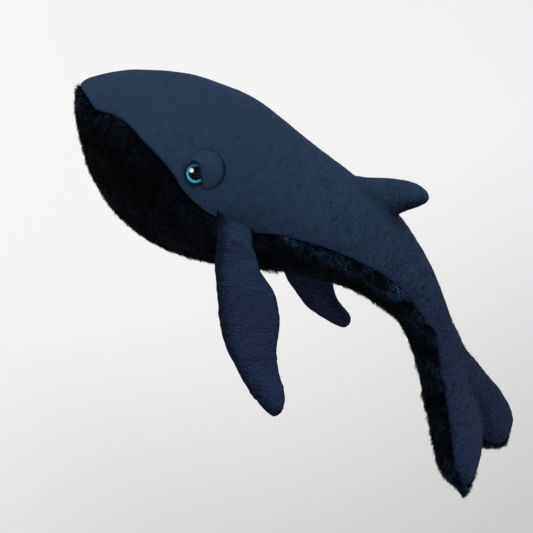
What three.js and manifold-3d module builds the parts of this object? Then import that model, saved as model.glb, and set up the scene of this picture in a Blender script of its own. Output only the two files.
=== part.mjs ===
// Stuffed toy whale: sewn cloth and fur panels over fibre filling, with safety eyes.
// Millimetres, +Z up. The head points to -X, the tail to +X, and the left side is -Y.
// The origin is on the floor, under the middle of the whale. It rests on its throat and its fin tips.

import * as THREE from 'three';
import { mergeVertices } from 'three/addons/utils/BufferGeometryUtils.js';
import Module from 'manifold-3d';

const wasm = await Module();
wasm.setup();

// Overall sizes
const bodyLength = 500;
const crownHeight = 174;
const headWidth = 154;
const flukeSpan = 174;
const flukeThickness = 38;

// Cloth, clearances and cuts
const panelWall = 2.4;
const seamGap = 0.3;
const restFlatDepth = 0.5;
const cutOverrun = 40;

// Dorsal fin
const dorsalRise = 37;
const dorsalChord = 74;
const dorsalThickness = 25;

// Pectoral fins
const finReach = 135;
const finDrop = 88;
const finSplay = 28;
const finChord = 51.5;
const finThickness = 20;
const finRootThickness = 14;
const finRootChord = 37;

// Tail joint
const tailKnuckleShare = 0.91;
const tailBendLimitDegrees = 18;
const tailLipReliefDegrees = 3;

// Eyes and eyelids
const eyeDiameter = 18;
const eyeBackThickness = 1.2;
const eyeDomeHeight = 5.4;
const irisDiameter = 16.4;
const irisThickness = 0.5;
const pupilDiameter = 9.6;
const stemDiameter = 4.6;
const stemLength = 13;
const washerDiameter = 15;
const washerThickness = 1.6;
const lidDiameter = 34;
const lidHeight = 10.5;
const lidOverlap = 3.4;

// Faceting
const bodySides = 32;
const bodyFillingSides = bodySides / 2;
const flukeSides = 16;
const flukeFillingSides = flukeSides / 2;
const dorsalSides = 16;
const finSides = 16;
const finFillingSides = finSides / 2;
const turnedSides = 20;
const knuckleSides = 40;
const domeSteps = 6;
const lidSteps = 7;
const sectorSteps = 4;

// Body sections from the snout to the end of the tail root, each a share of the body length,
// then the top and the underside as shares of the crown height, then the half width as a share
// of half the head's width
const bodySectionShares = [
  [0.006, 0.380, 0.312, 0.09],
  [0.018, 0.431, 0.286, 0.18],
  [0.034, 0.492, 0.246, 0.295],
  [0.055, 0.567, 0.198, 0.43],
  [0.079, 0.625, 0.145, 0.551],
  [0.113, 0.7, 0.089, 0.686],
  [0.152, 0.776, 0.039, 0.814],
  [0.192, 0.838, 0.008, 0.91],
  [0.231, 0.886, 0, 0.974],
  [0.271, 0.916, 0.009, 1],
  [0.31, 0.931, 0.044, 0.987],
  [0.35, 0.939, 0.094, 0.942],
  [0.389, 0.948, 0.155, 0.885],
  [0.429, 0.96, 0.233, 0.808],
  [0.468, 0.973, 0.32, 0.731],
  [0.508, 0.99, 0.405, 0.66],
  [0.547, 1, 0.477, 0.598],
  [0.587, 0.99, 0.535, 0.545],
  [0.627, 0.965, 0.578, 0.487],
  [0.666, 0.932, 0.598, 0.425],
  [0.702, 0.889, 0.601, 0.385],
  [0.735, 0.838, 0.566, 0.38],
  [0.765, 0.785, 0.522, 0.388],
  [0.795, 0.722, 0.481, 0.37],
  [0.828, 0.642, 0.456, 0.28],
  [0.86, 0.575, 0.444, 0.17],
];
const snoutHeightShare = 0.346;
const tailRootEndShares = [0.882, 0.487];

// One fluke's sections: share of the body length, centre and half width as shares of half the
// span, height as a share of the crown height, half thickness as a share of half the thickness
const flukeSectionShares = [
  [0.765, 0.17, 0.18, 0.648, 0.86],
  [0.795, 0.2, 0.25, 0.601, 0.99],
  [0.824, 0.285, 0.3, 0.554, 0.95],
  [0.856, 0.36, 0.365, 0.513, 0.89],
  [0.887, 0.435, 0.43, 0.47, 0.82],
  [0.919, 0.52, 0.46, 0.427, 0.74],
  [0.943, 0.54, 0.455, 0.397, 0.66],
  [0.963, 0.565, 0.43, 0.377, 0.58],
  [0.978, 0.6, 0.385, 0.364, 0.47],
  [0.99, 0.64, 0.305, 0.355, 0.34],
  [0.997, 0.675, 0.18, 0.351, 0.18],
];
const flukeStartShares = [0.745, 0.12, 0.68];
const flukeTipShares = [1.0, 0.68, 0.349];

// The seam between the cloth above and the fur below: shares of the body length and crown height
const seamShares = [
  [0, 0.346],
  [0.028, 0.358],
  [0.059, 0.394],
  [0.079, 0.447],
  [0.103, 0.481],
  [0.13, 0.505],
  [0.164, 0.517],
  [0.194, 0.531],
  [0.233, 0.54],
  [0.275, 0.523],
  [0.336, 0.521],
  [0.375, 0.546],
  [0.417, 0.584],
  [0.449, 0.645],
  [0.489, 0.696],
  [0.526, 0.741],
  [0.58, 0.79],
  [0.615, 0.81],
  [0.652, 0.814],
  [0.684, 0.804],
  [0.711, 0.782],
  [0.741, 0.763],
  [0.765, 0.745],
  [0.795, 0.685],
  [0.824, 0.627],
  [0.856, 0.578],
  [0.887, 0.528],
  [0.919, 0.476],
  [0.943, 0.437],
  [0.963, 0.409],
  [0.986, 0.375],
  [1, 0.353],
];
const throatEndShare = 0.4;

// Dorsal fin sections from inside the back to the tip: height as a share of the rise above the
// crown, front and rear edge as shares of the chord behind the fin's foot, half thickness as a
// share of half the thickness
const dorsalFootShare = 0.446;
const dorsalSectionShares = [
  [-0.3, 0, 0.9, 1],
  [-0.02, 0.15, 0.89, 0.92],
  [0.2, 0.29, 0.9, 0.85],
  [0.46, 0.43, 0.96, 0.8],
  [0.72, 0.59, 1, 0.72],
  [0.88, 0.72, 1, 0.6],
  [0.97, 0.83, 0.96, 0.4],
];
const dorsalTipShares = [1.0, 0.9];

// Pectoral fin sections from the root to the tip: the middle as shares of reach, splay and drop,
// the chord's run back, inward and up as shares of the full chord, and the half thickness as a
// share of half the thickness
const finSectionShares = [
  [0.08, 0.03, 0.12, 0.62, 0.1, 0.3, 0.76],
  [0.16, 0.05, 0.258, 0.6, 0.06, 0.5, 0.84],
  [0.248, 0.09, 0.35, 0.59, 0.07, 0.66, 0.94],
  [0.34, 0.14, 0.437, 0.57, 0.08, 0.8, 1],
  [0.43, 0.2, 0.553, 0.49, 0.1, 0.9, 1.0],
  [0.53, 0.26, 0.674, 0.37, 0.13, 0.93, 0.97],
  [0.62, 0.34, 0.775, 0.2, 0.16, 0.83, 0.92],
  [0.703, 0.415, 0.865, 0.06, 0.19, 0.71, 0.87],
  [0.785, 0.53, 0.92, -0.05, 0.25, 0.58, 0.82],
  [0.86, 0.66, 0.955, -0.1, 0.27, 0.46, 0.75],
  [0.925, 0.8, 0.975, -0.08, 0.22, 0.35, 0.64],
  [0.975, 0.93, 0.99, -0.05, 0.14, 0.21, 0.42],
];
const finTipShares = [1.0, 1.0, 0.995];
const finRootShare = 0.386;
const finRootAngleDegrees = 0;
const finRootRunShares = [0.965, 0.22, 0.14];
const finFaceDirectionShares = [-0.1, -0.89, 0.44];
const finRootRoundingShares = [0.35, 0.65, 0.88];
const finCutWidthShare = 1.6;
const innerEndShare = 0.4;
const innerTipShare = 1.3;

// Eye and eyelid places: share of the body length and the angle above the side
const eyeShare = 0.268;
const eyeAngleDegrees = 21.2;
const lidShare = 0.273;
const lidAngleDegrees = 26.5;
const lidEdgeBackShare = 0.58;

// Derived sizes
const snoutX = -bodyLength / 2;
const halfHeadWidth = headWidth / 2;
const halfFlukeSpan = flukeSpan / 2;
const halfFlukeThickness = flukeThickness / 2;
const halfGap = seamGap / 2;
const fillingInset = panelWall + seamGap;
const eyeDomeFoot = 3 * seamGap + eyeBackThickness + irisThickness;
const facetDip = halfHeadWidth * (1 - Math.cos(Math.PI / bodyFillingSides));
const washerDip = facetDip + washerDiameter ** 2 / (4 * headWidth) + 2 * seamGap;
const radians = THREE.MathUtils.degToRad;
const heightOf = (share) => share * crownHeight - restFlatDepth;

// Returns a closed solid that manifold-3d can cut, from a three.js geometry
function solidFrom(geometry) {
  const bare = geometry.clone();
  bare.deleteAttribute('normal');
  bare.deleteAttribute('uv');
  const merged = mergeVertices(bare.index ? bare.toNonIndexed() : bare, seamGap / bodyLength);
  return new wasm.Manifold(new wasm.Mesh({
    numProp: 3,
    vertProperties: new Float32Array(merged.attributes.position.array),
    triVerts: new Uint32Array(merged.index.array),
  }));
}

// Returns a three.js geometry from a cut solid
function geometryFrom(solid) {
  const mesh = solid.getMesh();
  const geometry = new THREE.BufferGeometry();
  geometry.setAttribute('position', new THREE.BufferAttribute(new Float32Array(mesh.vertProperties), 3));
  geometry.setIndex(new THREE.BufferAttribute(new Uint32Array(mesh.triVerts), 1));
  return geometry;
}

function signedVolume(positions, triangles) {
  const a = new THREE.Vector3();
  const b = new THREE.Vector3();
  const c = new THREE.Vector3();
  let sum = 0;
  for (let k = 0; k < triangles.length; k += 3) {
    a.fromArray(positions, triangles[k] * 3);
    b.fromArray(positions, triangles[k + 1] * 3);
    c.fromArray(positions, triangles[k + 2] * 3);
    sum += a.dot(b.cross(c));
  }
  return sum;
}

// Closes a row of rings between a first and a last point and turns the faces outward
function loft(rings, first, last) {
  const sides = rings[0].length;
  const points = [first, ...rings.flat(), last];
  const lastIndex = points.length - 1;
  const at = (ring, side) => 1 + ring * sides + (side % sides);
  const triangles = [];
  for (let side = 0; side < sides; side += 1) {
    triangles.push(0, at(0, side + 1), at(0, side));
    triangles.push(at(rings.length - 1, side), at(rings.length - 1, side + 1), lastIndex);
    for (let ring = 0; ring < rings.length - 1; ring += 1) {
      triangles.push(at(ring, side), at(ring, side + 1), at(ring + 1, side));
      triangles.push(at(ring + 1, side), at(ring, side + 1), at(ring + 1, side + 1));
    }
  }
  const positions = new Float32Array(points.flatMap((point) => point.toArray()));
  if (signedVolume(positions, triangles) < 0) {
    triangles.reverse();
  }
  const geometry = new THREE.BufferGeometry();
  geometry.setAttribute('position', new THREE.BufferAttribute(positions, 3));
  geometry.setIndex(triangles);
  return solidFrom(geometry);
}

// A ring of points round a middle, along two half axes
function ringAt(middle, across, up, sides) {
  return Array.from({ length: sides }, (_, side) => {
    const angle = (2 * Math.PI * side) / sides;
    return middle.clone().addScaledVector(across, Math.cos(angle)).addScaledVector(up, Math.sin(angle));
  });
}

// A body section at a share of the length: the middle and the two half axes
function sectionOf([share, topShare, bottomShare, widthShare]) {
  return {
    x: snoutX + share * bodyLength,
    z: heightOf((topShare + bottomShare) / 2),
    halfWidth: widthShare * halfHeadWidth,
    halfHeight: ((topShare - bottomShare) / 2) * crownHeight,
  };
}

function sectionAt(share) {
  const after = bodySectionShares.findIndex((row) => row[0] >= share);
  const [low, high] = [bodySectionShares[after - 1], bodySectionShares[after]];
  const part = (share - low[0]) / (high[0] - low[0]);
  return sectionOf(low.map((value, column) => THREE.MathUtils.lerp(value, high[column], part)));
}

// The body without fins and flukes, drawn in by an inset
function bodySolid(inset, sides = bodySides) {
  const sections = bodySectionShares.map(sectionOf).filter((section) => section.halfWidth > 2 * inset);
  const rings = sections.map(({ x, z, halfWidth, halfHeight }) => ringAt(
    new THREE.Vector3(x, 0, z),
    new THREE.Vector3(0, halfWidth - inset, 0),
    new THREE.Vector3(0, 0, halfHeight - inset),
    sides,
  ));
  const open = sections[0];
  const drawnIn = inset > 0 ? open.x - snoutX - open.halfHeight + inset : -inset;
  const snout = new THREE.Vector3(snoutX + Math.max(drawnIn, -inset), 0, heightOf(snoutHeightShare));
  const end = new THREE.Vector3(
    snoutX + tailRootEndShares[0] * bodyLength - inset,
    0,
    heightOf(tailRootEndShares[1]),
  );
  return loft(rings, snout, end);
}

function flukeSolid(side, inset, sides = flukeSides) {
  const rows = flukeSectionShares.filter((row) => row[4] * halfFlukeThickness > inset + panelWall / 2);
  const rings = rows.map(([share, centreShare, widthShare, heightShare, thicknessShare]) => ringAt(
    new THREE.Vector3(
      snoutX + share * bodyLength,
      side * centreShare * halfFlukeSpan,
      heightOf(heightShare),
    ),
    new THREE.Vector3(0, widthShare * halfFlukeSpan - inset, 0),
    new THREE.Vector3(0, 0, thicknessShare * halfFlukeThickness - inset),
    sides,
  ));
  const start = new THREE.Vector3(
    snoutX + flukeStartShares[0] * bodyLength + inset,
    side * flukeStartShares[1] * halfFlukeSpan,
    heightOf(flukeStartShares[2]),
  );
  const lastShare = rows[rows.length - 1][0];
  const tipShare = inset > 0 ? (lastShare + flukeTipShares[0]) / 2 : flukeTipShares[0];
  const tip = new THREE.Vector3(
    snoutX + tipShare * bodyLength - Math.min(inset, 0),
    side * flukeTipShares[1] * halfFlukeSpan,
    heightOf(flukeTipShares[2]),
  );
  return loft(rings, start, tip);
}

function dorsalSolid(inset) {
  const footX = snoutX + dorsalFootShare * bodyLength;
  const rings = dorsalSectionShares
    .filter((row) => (dorsalTipShares[0] - row[0]) * dorsalRise > innerTipShare * inset)
    .map(([riseShare, frontShare, rearShare, thicknessShare]) => ringAt(
      new THREE.Vector3(
        footX + ((frontShare + rearShare) / 2) * dorsalChord,
        0,
        heightOf(1) + riseShare * dorsalRise,
      ),
      new THREE.Vector3(((rearShare - frontShare) / 2) * dorsalChord - inset, 0, 0),
      new THREE.Vector3(0, (thicknessShare * dorsalThickness) / 2 - inset, 0),
      dorsalSides,
    ));
  const buried = new THREE.Vector3(
    footX + dorsalChord / 2,
    0,
    heightOf(1) + dorsalSectionShares[0][0] * dorsalRise - panelWall,
  );
  const tip = new THREE.Vector3(
    footX + dorsalTipShares[1] * dorsalChord,
    0,
    heightOf(1) + dorsalTipShares[0] * dorsalRise - inset,
  );
  return loft(rings, buried, tip);
}

// Boxes and prisms that divide the panels
function blockSolid(lowX, highX, lowY, highY, lowZ, highZ) {
  const geometry = new THREE.BoxGeometry(highX - lowX, highY - lowY, highZ - lowZ);
  geometry.translate((lowX + highX) / 2, (lowY + highY) / 2, (lowZ + highZ) / 2);
  return solidFrom(geometry);
}

const farX = bodyLength / 2 + cutOverrun;
const farY = Math.max(headWidth, flukeSpan) / 2 + cutOverrun;
const farZ = crownHeight + dorsalRise + cutOverrun;

function aboveFloor() {
  return blockSolid(-farX, farX, -farY, farY, 0, farZ);
}

function halfSpaceOf(side) {
  return side < 0
    ? blockSolid(-farX, farX, -farY, -halfGap, -cutOverrun, farZ)
    : blockSolid(-farX, farX, halfGap, farY, -cutOverrun, farZ);
}

// A prism across the whale whose lower or upper side is the seam line
function seamSolid(isAbove) {
  const shift = isAbove ? halfGap : -halfGap;
  const line = seamShares.map(([share, heightShare]) => new THREE.Vector2(
    snoutX + share * bodyLength,
    heightOf(heightShare) + shift,
  ));
  const outerZ = isAbove ? farZ : -cutOverrun;
  const outline = new THREE.Shape([
    new THREE.Vector2(-farX, outerZ),
    new THREE.Vector2(-farX, line[0].y),
    ...line,
    new THREE.Vector2(farX, line[line.length - 1].y),
    new THREE.Vector2(farX, outerZ),
  ]);
  const geometry = new THREE.ExtrudeGeometry(outline, { depth: 2 * farY, bevelEnabled: false });
  geometry.rotateX(Math.PI / 2);
  geometry.translate(0, farY, 0);
  return solidFrom(geometry);
}

// The tail bends about a line across the narrowest part of the body, where the front part ends
// in a knuckle and the tail wraps round it
const hingeShare = 0.728;
const hingeSlopeEndShare = 0.758;
const hingeSection = sectionAt(hingeShare);
const slopeEnd = sectionAt(hingeSlopeEndShare);
const tailSlope = Math.atan2(slopeEnd.z - hingeSection.z, slopeEnd.x - hingeSection.x);
const tailKnuckleRadius = tailKnuckleShare * hingeSection.halfHeight * Math.cos(tailSlope);

function hingeDrum(radius) {
  const geometry = new THREE.CylinderGeometry(radius, radius, 2 * farY, knuckleSides);
  geometry.translate(hingeSection.x, 0, hingeSection.z);
  return solidFrom(geometry);
}

// A wedge of the side view, from the hinge out, between two angles from the tail's own line
function hingeSector(lowDegrees, highDegrees) {
  const reach = 2 * bodyLength;
  const edges = Array.from({ length: sectorSteps + 1 }, (_, step) => {
    const angle = tailSlope + radians(THREE.MathUtils.lerp(lowDegrees, highDegrees, step / sectorSteps));
    return new THREE.Vector2(
      hingeSection.x + reach * Math.cos(angle),
      hingeSection.z + reach * Math.sin(angle),
    );
  });
  const outline = new THREE.Shape([new THREE.Vector2(hingeSection.x, hingeSection.z), ...edges]);
  const geometry = new THREE.ExtrudeGeometry(outline, { depth: 2 * farY, bevelEnabled: false });
  geometry.rotateX(Math.PI / 2);
  geometry.translate(0, farY, 0);
  return solidFrom(geometry);
}

const quarterTurnDegrees = 90;
const tailOpenDegrees = quarterTurnDegrees - tailBendLimitDegrees - tailLipReliefDegrees;
const behindHinge = hingeSector(-quarterTurnDegrees, quarterTurnDegrees);
const inTail = hingeSector(-tailOpenDegrees, tailOpenDegrees)
  .subtract(hingeDrum(tailKnuckleRadius + seamGap));

function keepFront(solid) {
  return solid.subtract(behindHinge).add(solid.intersect(hingeDrum(tailKnuckleRadius)));
}

// A point on the body's skin, with the direction straight out of it
function skinPoint(share, angle, side) {
  const section = sectionAt(share);
  return new THREE.Vector3(
    section.x,
    side * section.halfWidth * Math.cos(angle),
    section.z + section.halfHeight * Math.sin(angle),
  );
}

function headPoint(share, angleDegrees, side) {
  const angle = radians(angleDegrees);
  const shareStep = washerDiameter / (2 * bodyLength);
  const angleStep = washerDiameter / headWidth;
  const along = skinPoint(share + shareStep, angle, side).sub(skinPoint(share - shareStep, angle, side));
  const round = skinPoint(share, angle + angleStep, side).sub(skinPoint(share, angle - angleStep, side));
  return {
    point: skinPoint(share, angle, side),
    outward: along.cross(round).multiplyScalar(-side).normalize(),
  };
}

// Turned solids whose axis stands on a place of the skin
function seat(geometry, { point, outward }) {
  geometry.applyQuaternion(new THREE.Quaternion().setFromUnitVectors(new THREE.Vector3(0, 1, 0), outward));
  geometry.translate(point.x, point.y, point.z);
  return solidFrom(geometry);
}

function turned(profile, place) {
  const points = profile.map(([radius, height]) => new THREE.Vector2(radius, height));
  return seat(new THREE.LatheGeometry(points, turnedSides), place);
}

// The eye's parts, each drawn out by a clearance when it cuts its seat
function eyeBack(place, clear) {
  const rim = eyeDiameter / 2 + clear;
  const stem = stemDiameter / 2 + clear;
  const top = seamGap + eyeBackThickness + clear;
  return turned([
    [0, -stemLength - clear],
    [stem, -stemLength - clear],
    [stem, seamGap - clear],
    [rim, seamGap - clear],
    [rim, top],
    [0, top],
  ], place);
}

function eyeIris(place) {
  const low = 2 * seamGap + eyeBackThickness;
  const high = low + irisThickness;
  const inner = pupilDiameter / 2;
  return turned([
    [inner, low],
    [irisDiameter / 2, low],
    [irisDiameter / 2, high],
    [inner, high],
    [inner, low],
  ], place);
}

function eyePupil(place) {
  const low = 2 * seamGap + eyeBackThickness;
  const high = low + irisThickness;
  const rim = pupilDiameter / 2 - seamGap;
  return turned([[0, low], [rim, low], [rim, high], [0, high]], place);
}

function eyeDome(place, low, clear) {
  const rim = eyeDiameter / 2 + clear;
  const crown = eyeDomeHeight + clear;
  const arc = Array.from({ length: domeSteps }, (_, step) => {
    const angle = (step / domeSteps) * (Math.PI / 2);
    return [rim * Math.cos(angle), eyeDomeFoot + crown * Math.sin(angle)];
  });
  const base = low < eyeDomeFoot ? [[0, low], [rim, low]] : [[0, low]];
  return turned([...base, ...arc, [0, eyeDomeFoot + crown]], place);
}

function eyeWasher(place, clear) {
  const high = -panelWall - seamGap - washerDip + clear;
  const low = high - washerThickness - 2 * clear;
  const inner = stemDiameter / 2 + seamGap - clear;
  const outer = washerDiameter / 2 + clear;
  return turned([[inner, low], [outer, low], [outer, high], [inner, high], [inner, low]], place);
}

// The padded lid: a dome on the head, cut back from the eye and hollowed where it covers it
function eyelid(side, eyePlace, head) {
  const lidPlace = headPoint(lidShare, lidAngleDegrees, side);
  const arc = Array.from({ length: lidSteps }, (_, step) => {
    const angle = (step / lidSteps) * (Math.PI / 2);
    return [(lidDiameter / 2) * Math.cos(angle), lidHeight * Math.sin(angle)];
  });
  const foot = [[0, -lidHeight / 2], [lidDiameter / 2, -lidHeight / 2]];
  const dome = turned([...foot, ...arc, [0, lidHeight]], lidPlace);
  const back = new THREE.Vector3(1, 0, 0);
  const upward = new THREE.Vector3().crossVectors(back, eyePlace.outward).normalize();
  if (upward.z < 0) {
    upward.negate();
  }
  const edgeUpShare = Math.sqrt(1 - lidEdgeBackShare * lidEdgeBackShare);
  const toLid = back.multiplyScalar(lidEdgeBackShare).addScaledVector(upward, edgeUpShare);
  const blockSize = 2 * lidDiameter;
  const block = new THREE.BoxGeometry(blockSize, blockSize, blockSize);
  block.translate(0, -blockSize / 2, 0);
  const opening = seat(block, {
    point: eyePlace.point.clone().addScaledVector(toLid, lidOverlap),
    outward: toLid,
  });
  return dome
    .subtract(opening)
    .subtract(head)
    .subtract(eyeDome(eyePlace, -seamGap, seamGap));
}

// The root line of a pectoral fin, just clear of the body's side
function finRoot(side) {
  const { point, outward } = headPoint(finRootShare, finRootAngleDegrees, side);
  const run = new THREE.Vector3(
    finRootRunShares[0],
    -side * finRootRunShares[1],
    finRootRunShares[2],
  ).normalize();
  const middle = point.addScaledVector(outward, finRootThickness / 2 + 2 * seamGap);
  const face = new THREE.Vector3(
    finFaceDirectionShares[0],
    -side * finFaceDirectionShares[1],
    finFaceDirectionShares[2],
  ).normalize();
  return { middle, run, face };
}

// The fin's sections, hanging from the root and bent down until the tip rests on the floor
function finSections(side) {
  const { middle, run, face } = finRoot(side);
  const place = (reachShare, splayShare, dropShare) => middle.clone().add(
    new THREE.Vector3(reachShare * finReach, side * splayShare * finSplay, -dropShare * finDrop),
  );
  const hanging = finSectionShares.map(([reach, splay, drop, back, inward, up, thickness]) => ({
    reach,
    middle: place(reach, splay, drop),
    chord: new THREE.Vector3(back, -side * inward, up).multiplyScalar(finChord / 2),
    half: (thickness * finThickness) / 2,
    face,
  }));
  const underside = (section) => section.middle.z - Math.hypot(section.chord.z, section.half * face.z);
  const lowest = hanging.reduce((low, section) => (underside(section) < underside(low) ? section : low));
  const bend = (-restFlatDepth - underside(lowest)) / lowest.reach;
  hanging.forEach((section) => {
    section.middle.z += bend * section.reach;
  });
  const tip = place(...finTipShares);
  tip.z += bend;

  const downward = hanging[0].middle.clone().sub(middle).normalize();
  const rootHalf = finRootThickness / 2;
  const rootFace = new THREE.Vector3().crossVectors(run, downward).normalize();
  if (rootFace.dot(face) < 0) {
    rootFace.negate();
  }
  const rounded = finRootRoundingShares.map((part) => ({
    reach: 0,
    middle: middle.clone().addScaledVector(downward, -rootHalf * Math.sqrt(1 - part * part)),
    chord: run.clone().multiplyScalar(finRootChord / 2 - rootHalf * (1 - part)),
    half: rootHalf * part,
    face: rootFace,
  }));
  const chord = run.clone().multiplyScalar(finRootChord / 2);
  const root = { reach: 0, middle, chord, half: rootHalf, face: rootFace };
  return {
    sections: [...rounded, root, ...hanging],
    start: middle.clone().addScaledVector(downward, -rootHalf),
    tip,
  };
}

function finSolid(side, inset, sides = finSides) {
  const { sections, start, tip } = finSections(side);
  const kept = sections.filter((section) => section.half > inset + panelWall / 2);
  const rings = kept.map(({ middle, chord, half, face }) => ringAt(
    middle,
    chord.clone().setLength(chord.length() - inset),
    face.clone().multiplyScalar(half - inset),
    sides,
  ));
  const firstMiddle = kept[0].middle;
  const lastMiddle = kept[kept.length - 1].middle;
  const startPoint = inset > 0 ? firstMiddle.clone().lerp(start, innerEndShare) : start;
  const tipPoint = inset > 0 ? lastMiddle.clone().lerp(tip, innerEndShare) : tip;
  return loft(rings, startPoint, tipPoint);
}

// A block on the outer or inner side of the fin's own middle surface
function finHalfSpace(side, faceSign) {
  const { sections, start, tip } = finSections(side);
  const deep = finThickness + cutOverrun;
  const first = sections[0];
  const last = sections[sections.length - 1];
  const beyondStart = start.clone().multiplyScalar(2).sub(first.middle);
  const beyondTip = tip.clone().multiplyScalar(2).sub(last.middle);
  const rows = [
    { ...first, middle: beyondStart },
    ...sections.slice(finRootRoundingShares.length),
    { ...last, middle: beyondTip },
  ];
  const rings = rows.map(({ middle, chord, face }) => {
    const reach = chord.clone().setLength(chord.length() * finCutWidthShare + panelWall);
    const base = middle.clone().addScaledVector(face, faceSign * halfGap);
    const far = face.clone().multiplyScalar(faceSign * deep);
    return [
      base.clone().sub(reach),
      base.clone().add(reach),
      base.clone().add(reach).add(far),
      base.clone().sub(reach).add(far),
    ];
  });
  const middleOf = (ring) => ring.reduce((sum, point) => sum.add(point), new THREE.Vector3())
    .divideScalar(ring.length);
  return loft(rings, middleOf(rings[0]), middleOf(rings[rings.length - 1]));
}

// Materials
const crinkleCloth = new THREE.MeshStandardMaterial({ color: 0x2a3c5a, roughness: 0.92, metalness: 0 });
const shortFur = new THREE.MeshStandardMaterial({ color: 0x06080f, roughness: 0.8, metalness: 0 });
const fibreFilling = new THREE.MeshStandardMaterial({ color: 0xe9e7e0, roughness: 1, metalness: 0 });
const blackPlastic = new THREE.MeshStandardMaterial({ color: 0x08090b, roughness: 0.25, metalness: 0 });
const turquoiseIris = new THREE.MeshStandardMaterial({ color: 0x1fa6bd, roughness: 0.35, metalness: 0 });
const clearPlastic = new THREE.MeshStandardMaterial({ color: 0xf2f6f8, roughness: 0.05, metalness: 0 });
const whitePlastic = new THREE.MeshStandardMaterial({ color: 0xdedede, roughness: 0.5, metalness: 0 });

const group = new THREE.Group();

function addPart(name, solid, material) {
  const mesh = new THREE.Mesh(geometryFrom(solid), material);
  mesh.name = name;
  group.add(mesh);
}

// The sewn skin: one hollow form, divided into its panels along the seams
const outerForm = bodySolid(0)
  .add(flukeSolid(-1, 0))
  .add(flukeSolid(1, 0))
  .add(dorsalSolid(0))
  .intersect(aboveFloor());
const innerForm = bodySolid(panelWall, bodyFillingSides)
  .add(flukeSolid(-1, panelWall, flukeFillingSides))
  .add(flukeSolid(1, panelWall, flukeFillingSides))
  .add(dorsalSolid(panelWall));
const skin = outerForm.subtract(innerForm);
const clothSkin = skin.intersect(seamSolid(true));
const furSkin = skin.intersect(seamSolid(false));
const throatEndX = snoutX + throatEndShare * bodyLength;
const frontOfFins = blockSolid(-farX, throatEndX - halfGap, -farY, farY, -cutOverrun, farZ);
const behindFins = blockSolid(throatEndX + halfGap, farX, -farY, farY, -cutOverrun, farZ);

const sides = [{ side: -1, word: 'left' }, { side: 1, word: 'right' }];
const headForm = bodySolid(-seamGap);
let trunkFilling = keepFront(bodySolid(fillingInset, bodyFillingSides));

sides.forEach(({ side, word }) => {
  const eyePlace = headPoint(eyeShare, eyeAngleDegrees, side);
  const frontCloth = keepFront(clothSkin.intersect(halfSpaceOf(side)));
  addPart(`back_cloth_${word}`, frontCloth.subtract(eyeBack(eyePlace, seamGap)), crinkleCloth);
  addPart(`tail_cloth_${word}`, clothSkin.intersect(halfSpaceOf(side)).intersect(inTail), crinkleCloth);
  trunkFilling = trunkFilling.subtract(eyeBack(eyePlace, seamGap)).subtract(eyeWasher(eyePlace, seamGap));

  addPart(`${word}_eye_back`, eyeBack(eyePlace, 0), blackPlastic);
  addPart(`${word}_eye_iris`, eyeIris(eyePlace), turquoiseIris);
  addPart(`${word}_eye_pupil`, eyePupil(eyePlace), blackPlastic);
  addPart(`${word}_eye_dome`, eyeDome(eyePlace, eyeDomeFoot, 0), clearPlastic);
  addPart(`${word}_eye_washer`, eyeWasher(eyePlace, 0), whitePlastic);
  addPart(`${word}_eyelid`, eyelid(side, eyePlace, headForm), crinkleCloth);

  const finForm = finSolid(side, 0).intersect(aboveFloor());
  const finSkin = finForm.subtract(finSolid(side, panelWall, finFillingSides));
  addPart(`${word}_fin_outer_cloth`, finSkin.intersect(finHalfSpace(side, 1)), crinkleCloth);
  addPart(`${word}_fin_inner_cloth`, finSkin.intersect(finHalfSpace(side, -1)), crinkleCloth);
  addPart(`${word}_fin_filling`, finSolid(side, fillingInset, finFillingSides), fibreFilling);

  const flukeCore = flukeSolid(side, fillingInset, flukeFillingSides)
    .intersect(halfSpaceOf(side))
    .intersect(inTail);
  addPart(`${word}_fluke_filling`, flukeCore.subtract(bodySolid(panelWall)), fibreFilling);
});

addPart('throat_fur', furSkin.intersect(frontOfFins), shortFur);
addPart('belly_fur', keepFront(furSkin.intersect(behindFins)), shortFur);
addPart('tail_fur', furSkin.intersect(inTail), shortFur);
addPart('trunk_filling', trunkFilling, fibreFilling);
addPart('dorsal_fin_filling', dorsalSolid(fillingInset).subtract(bodySolid(panelWall)), fibreFilling);
addPart('tail_filling', bodySolid(fillingInset, bodyFillingSides).intersect(inTail), fibreFilling);

export default group;
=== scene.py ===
"""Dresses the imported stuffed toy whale: sewn cloth and fur skins, fibre stuffing, eyes and lids.

Metres, +Z up. The head points to -X, the tail to +X, and the whale's left side is -Y.
"""

import logging
import math
from dataclasses import dataclass, field
from enum import Enum
from typing import Callable, Iterable, Optional, Sequence

import bmesh
import bpy
import numpy as np
from mathutils import Matrix, Vector
from mathutils.bvhtree import BVHTree


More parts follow.
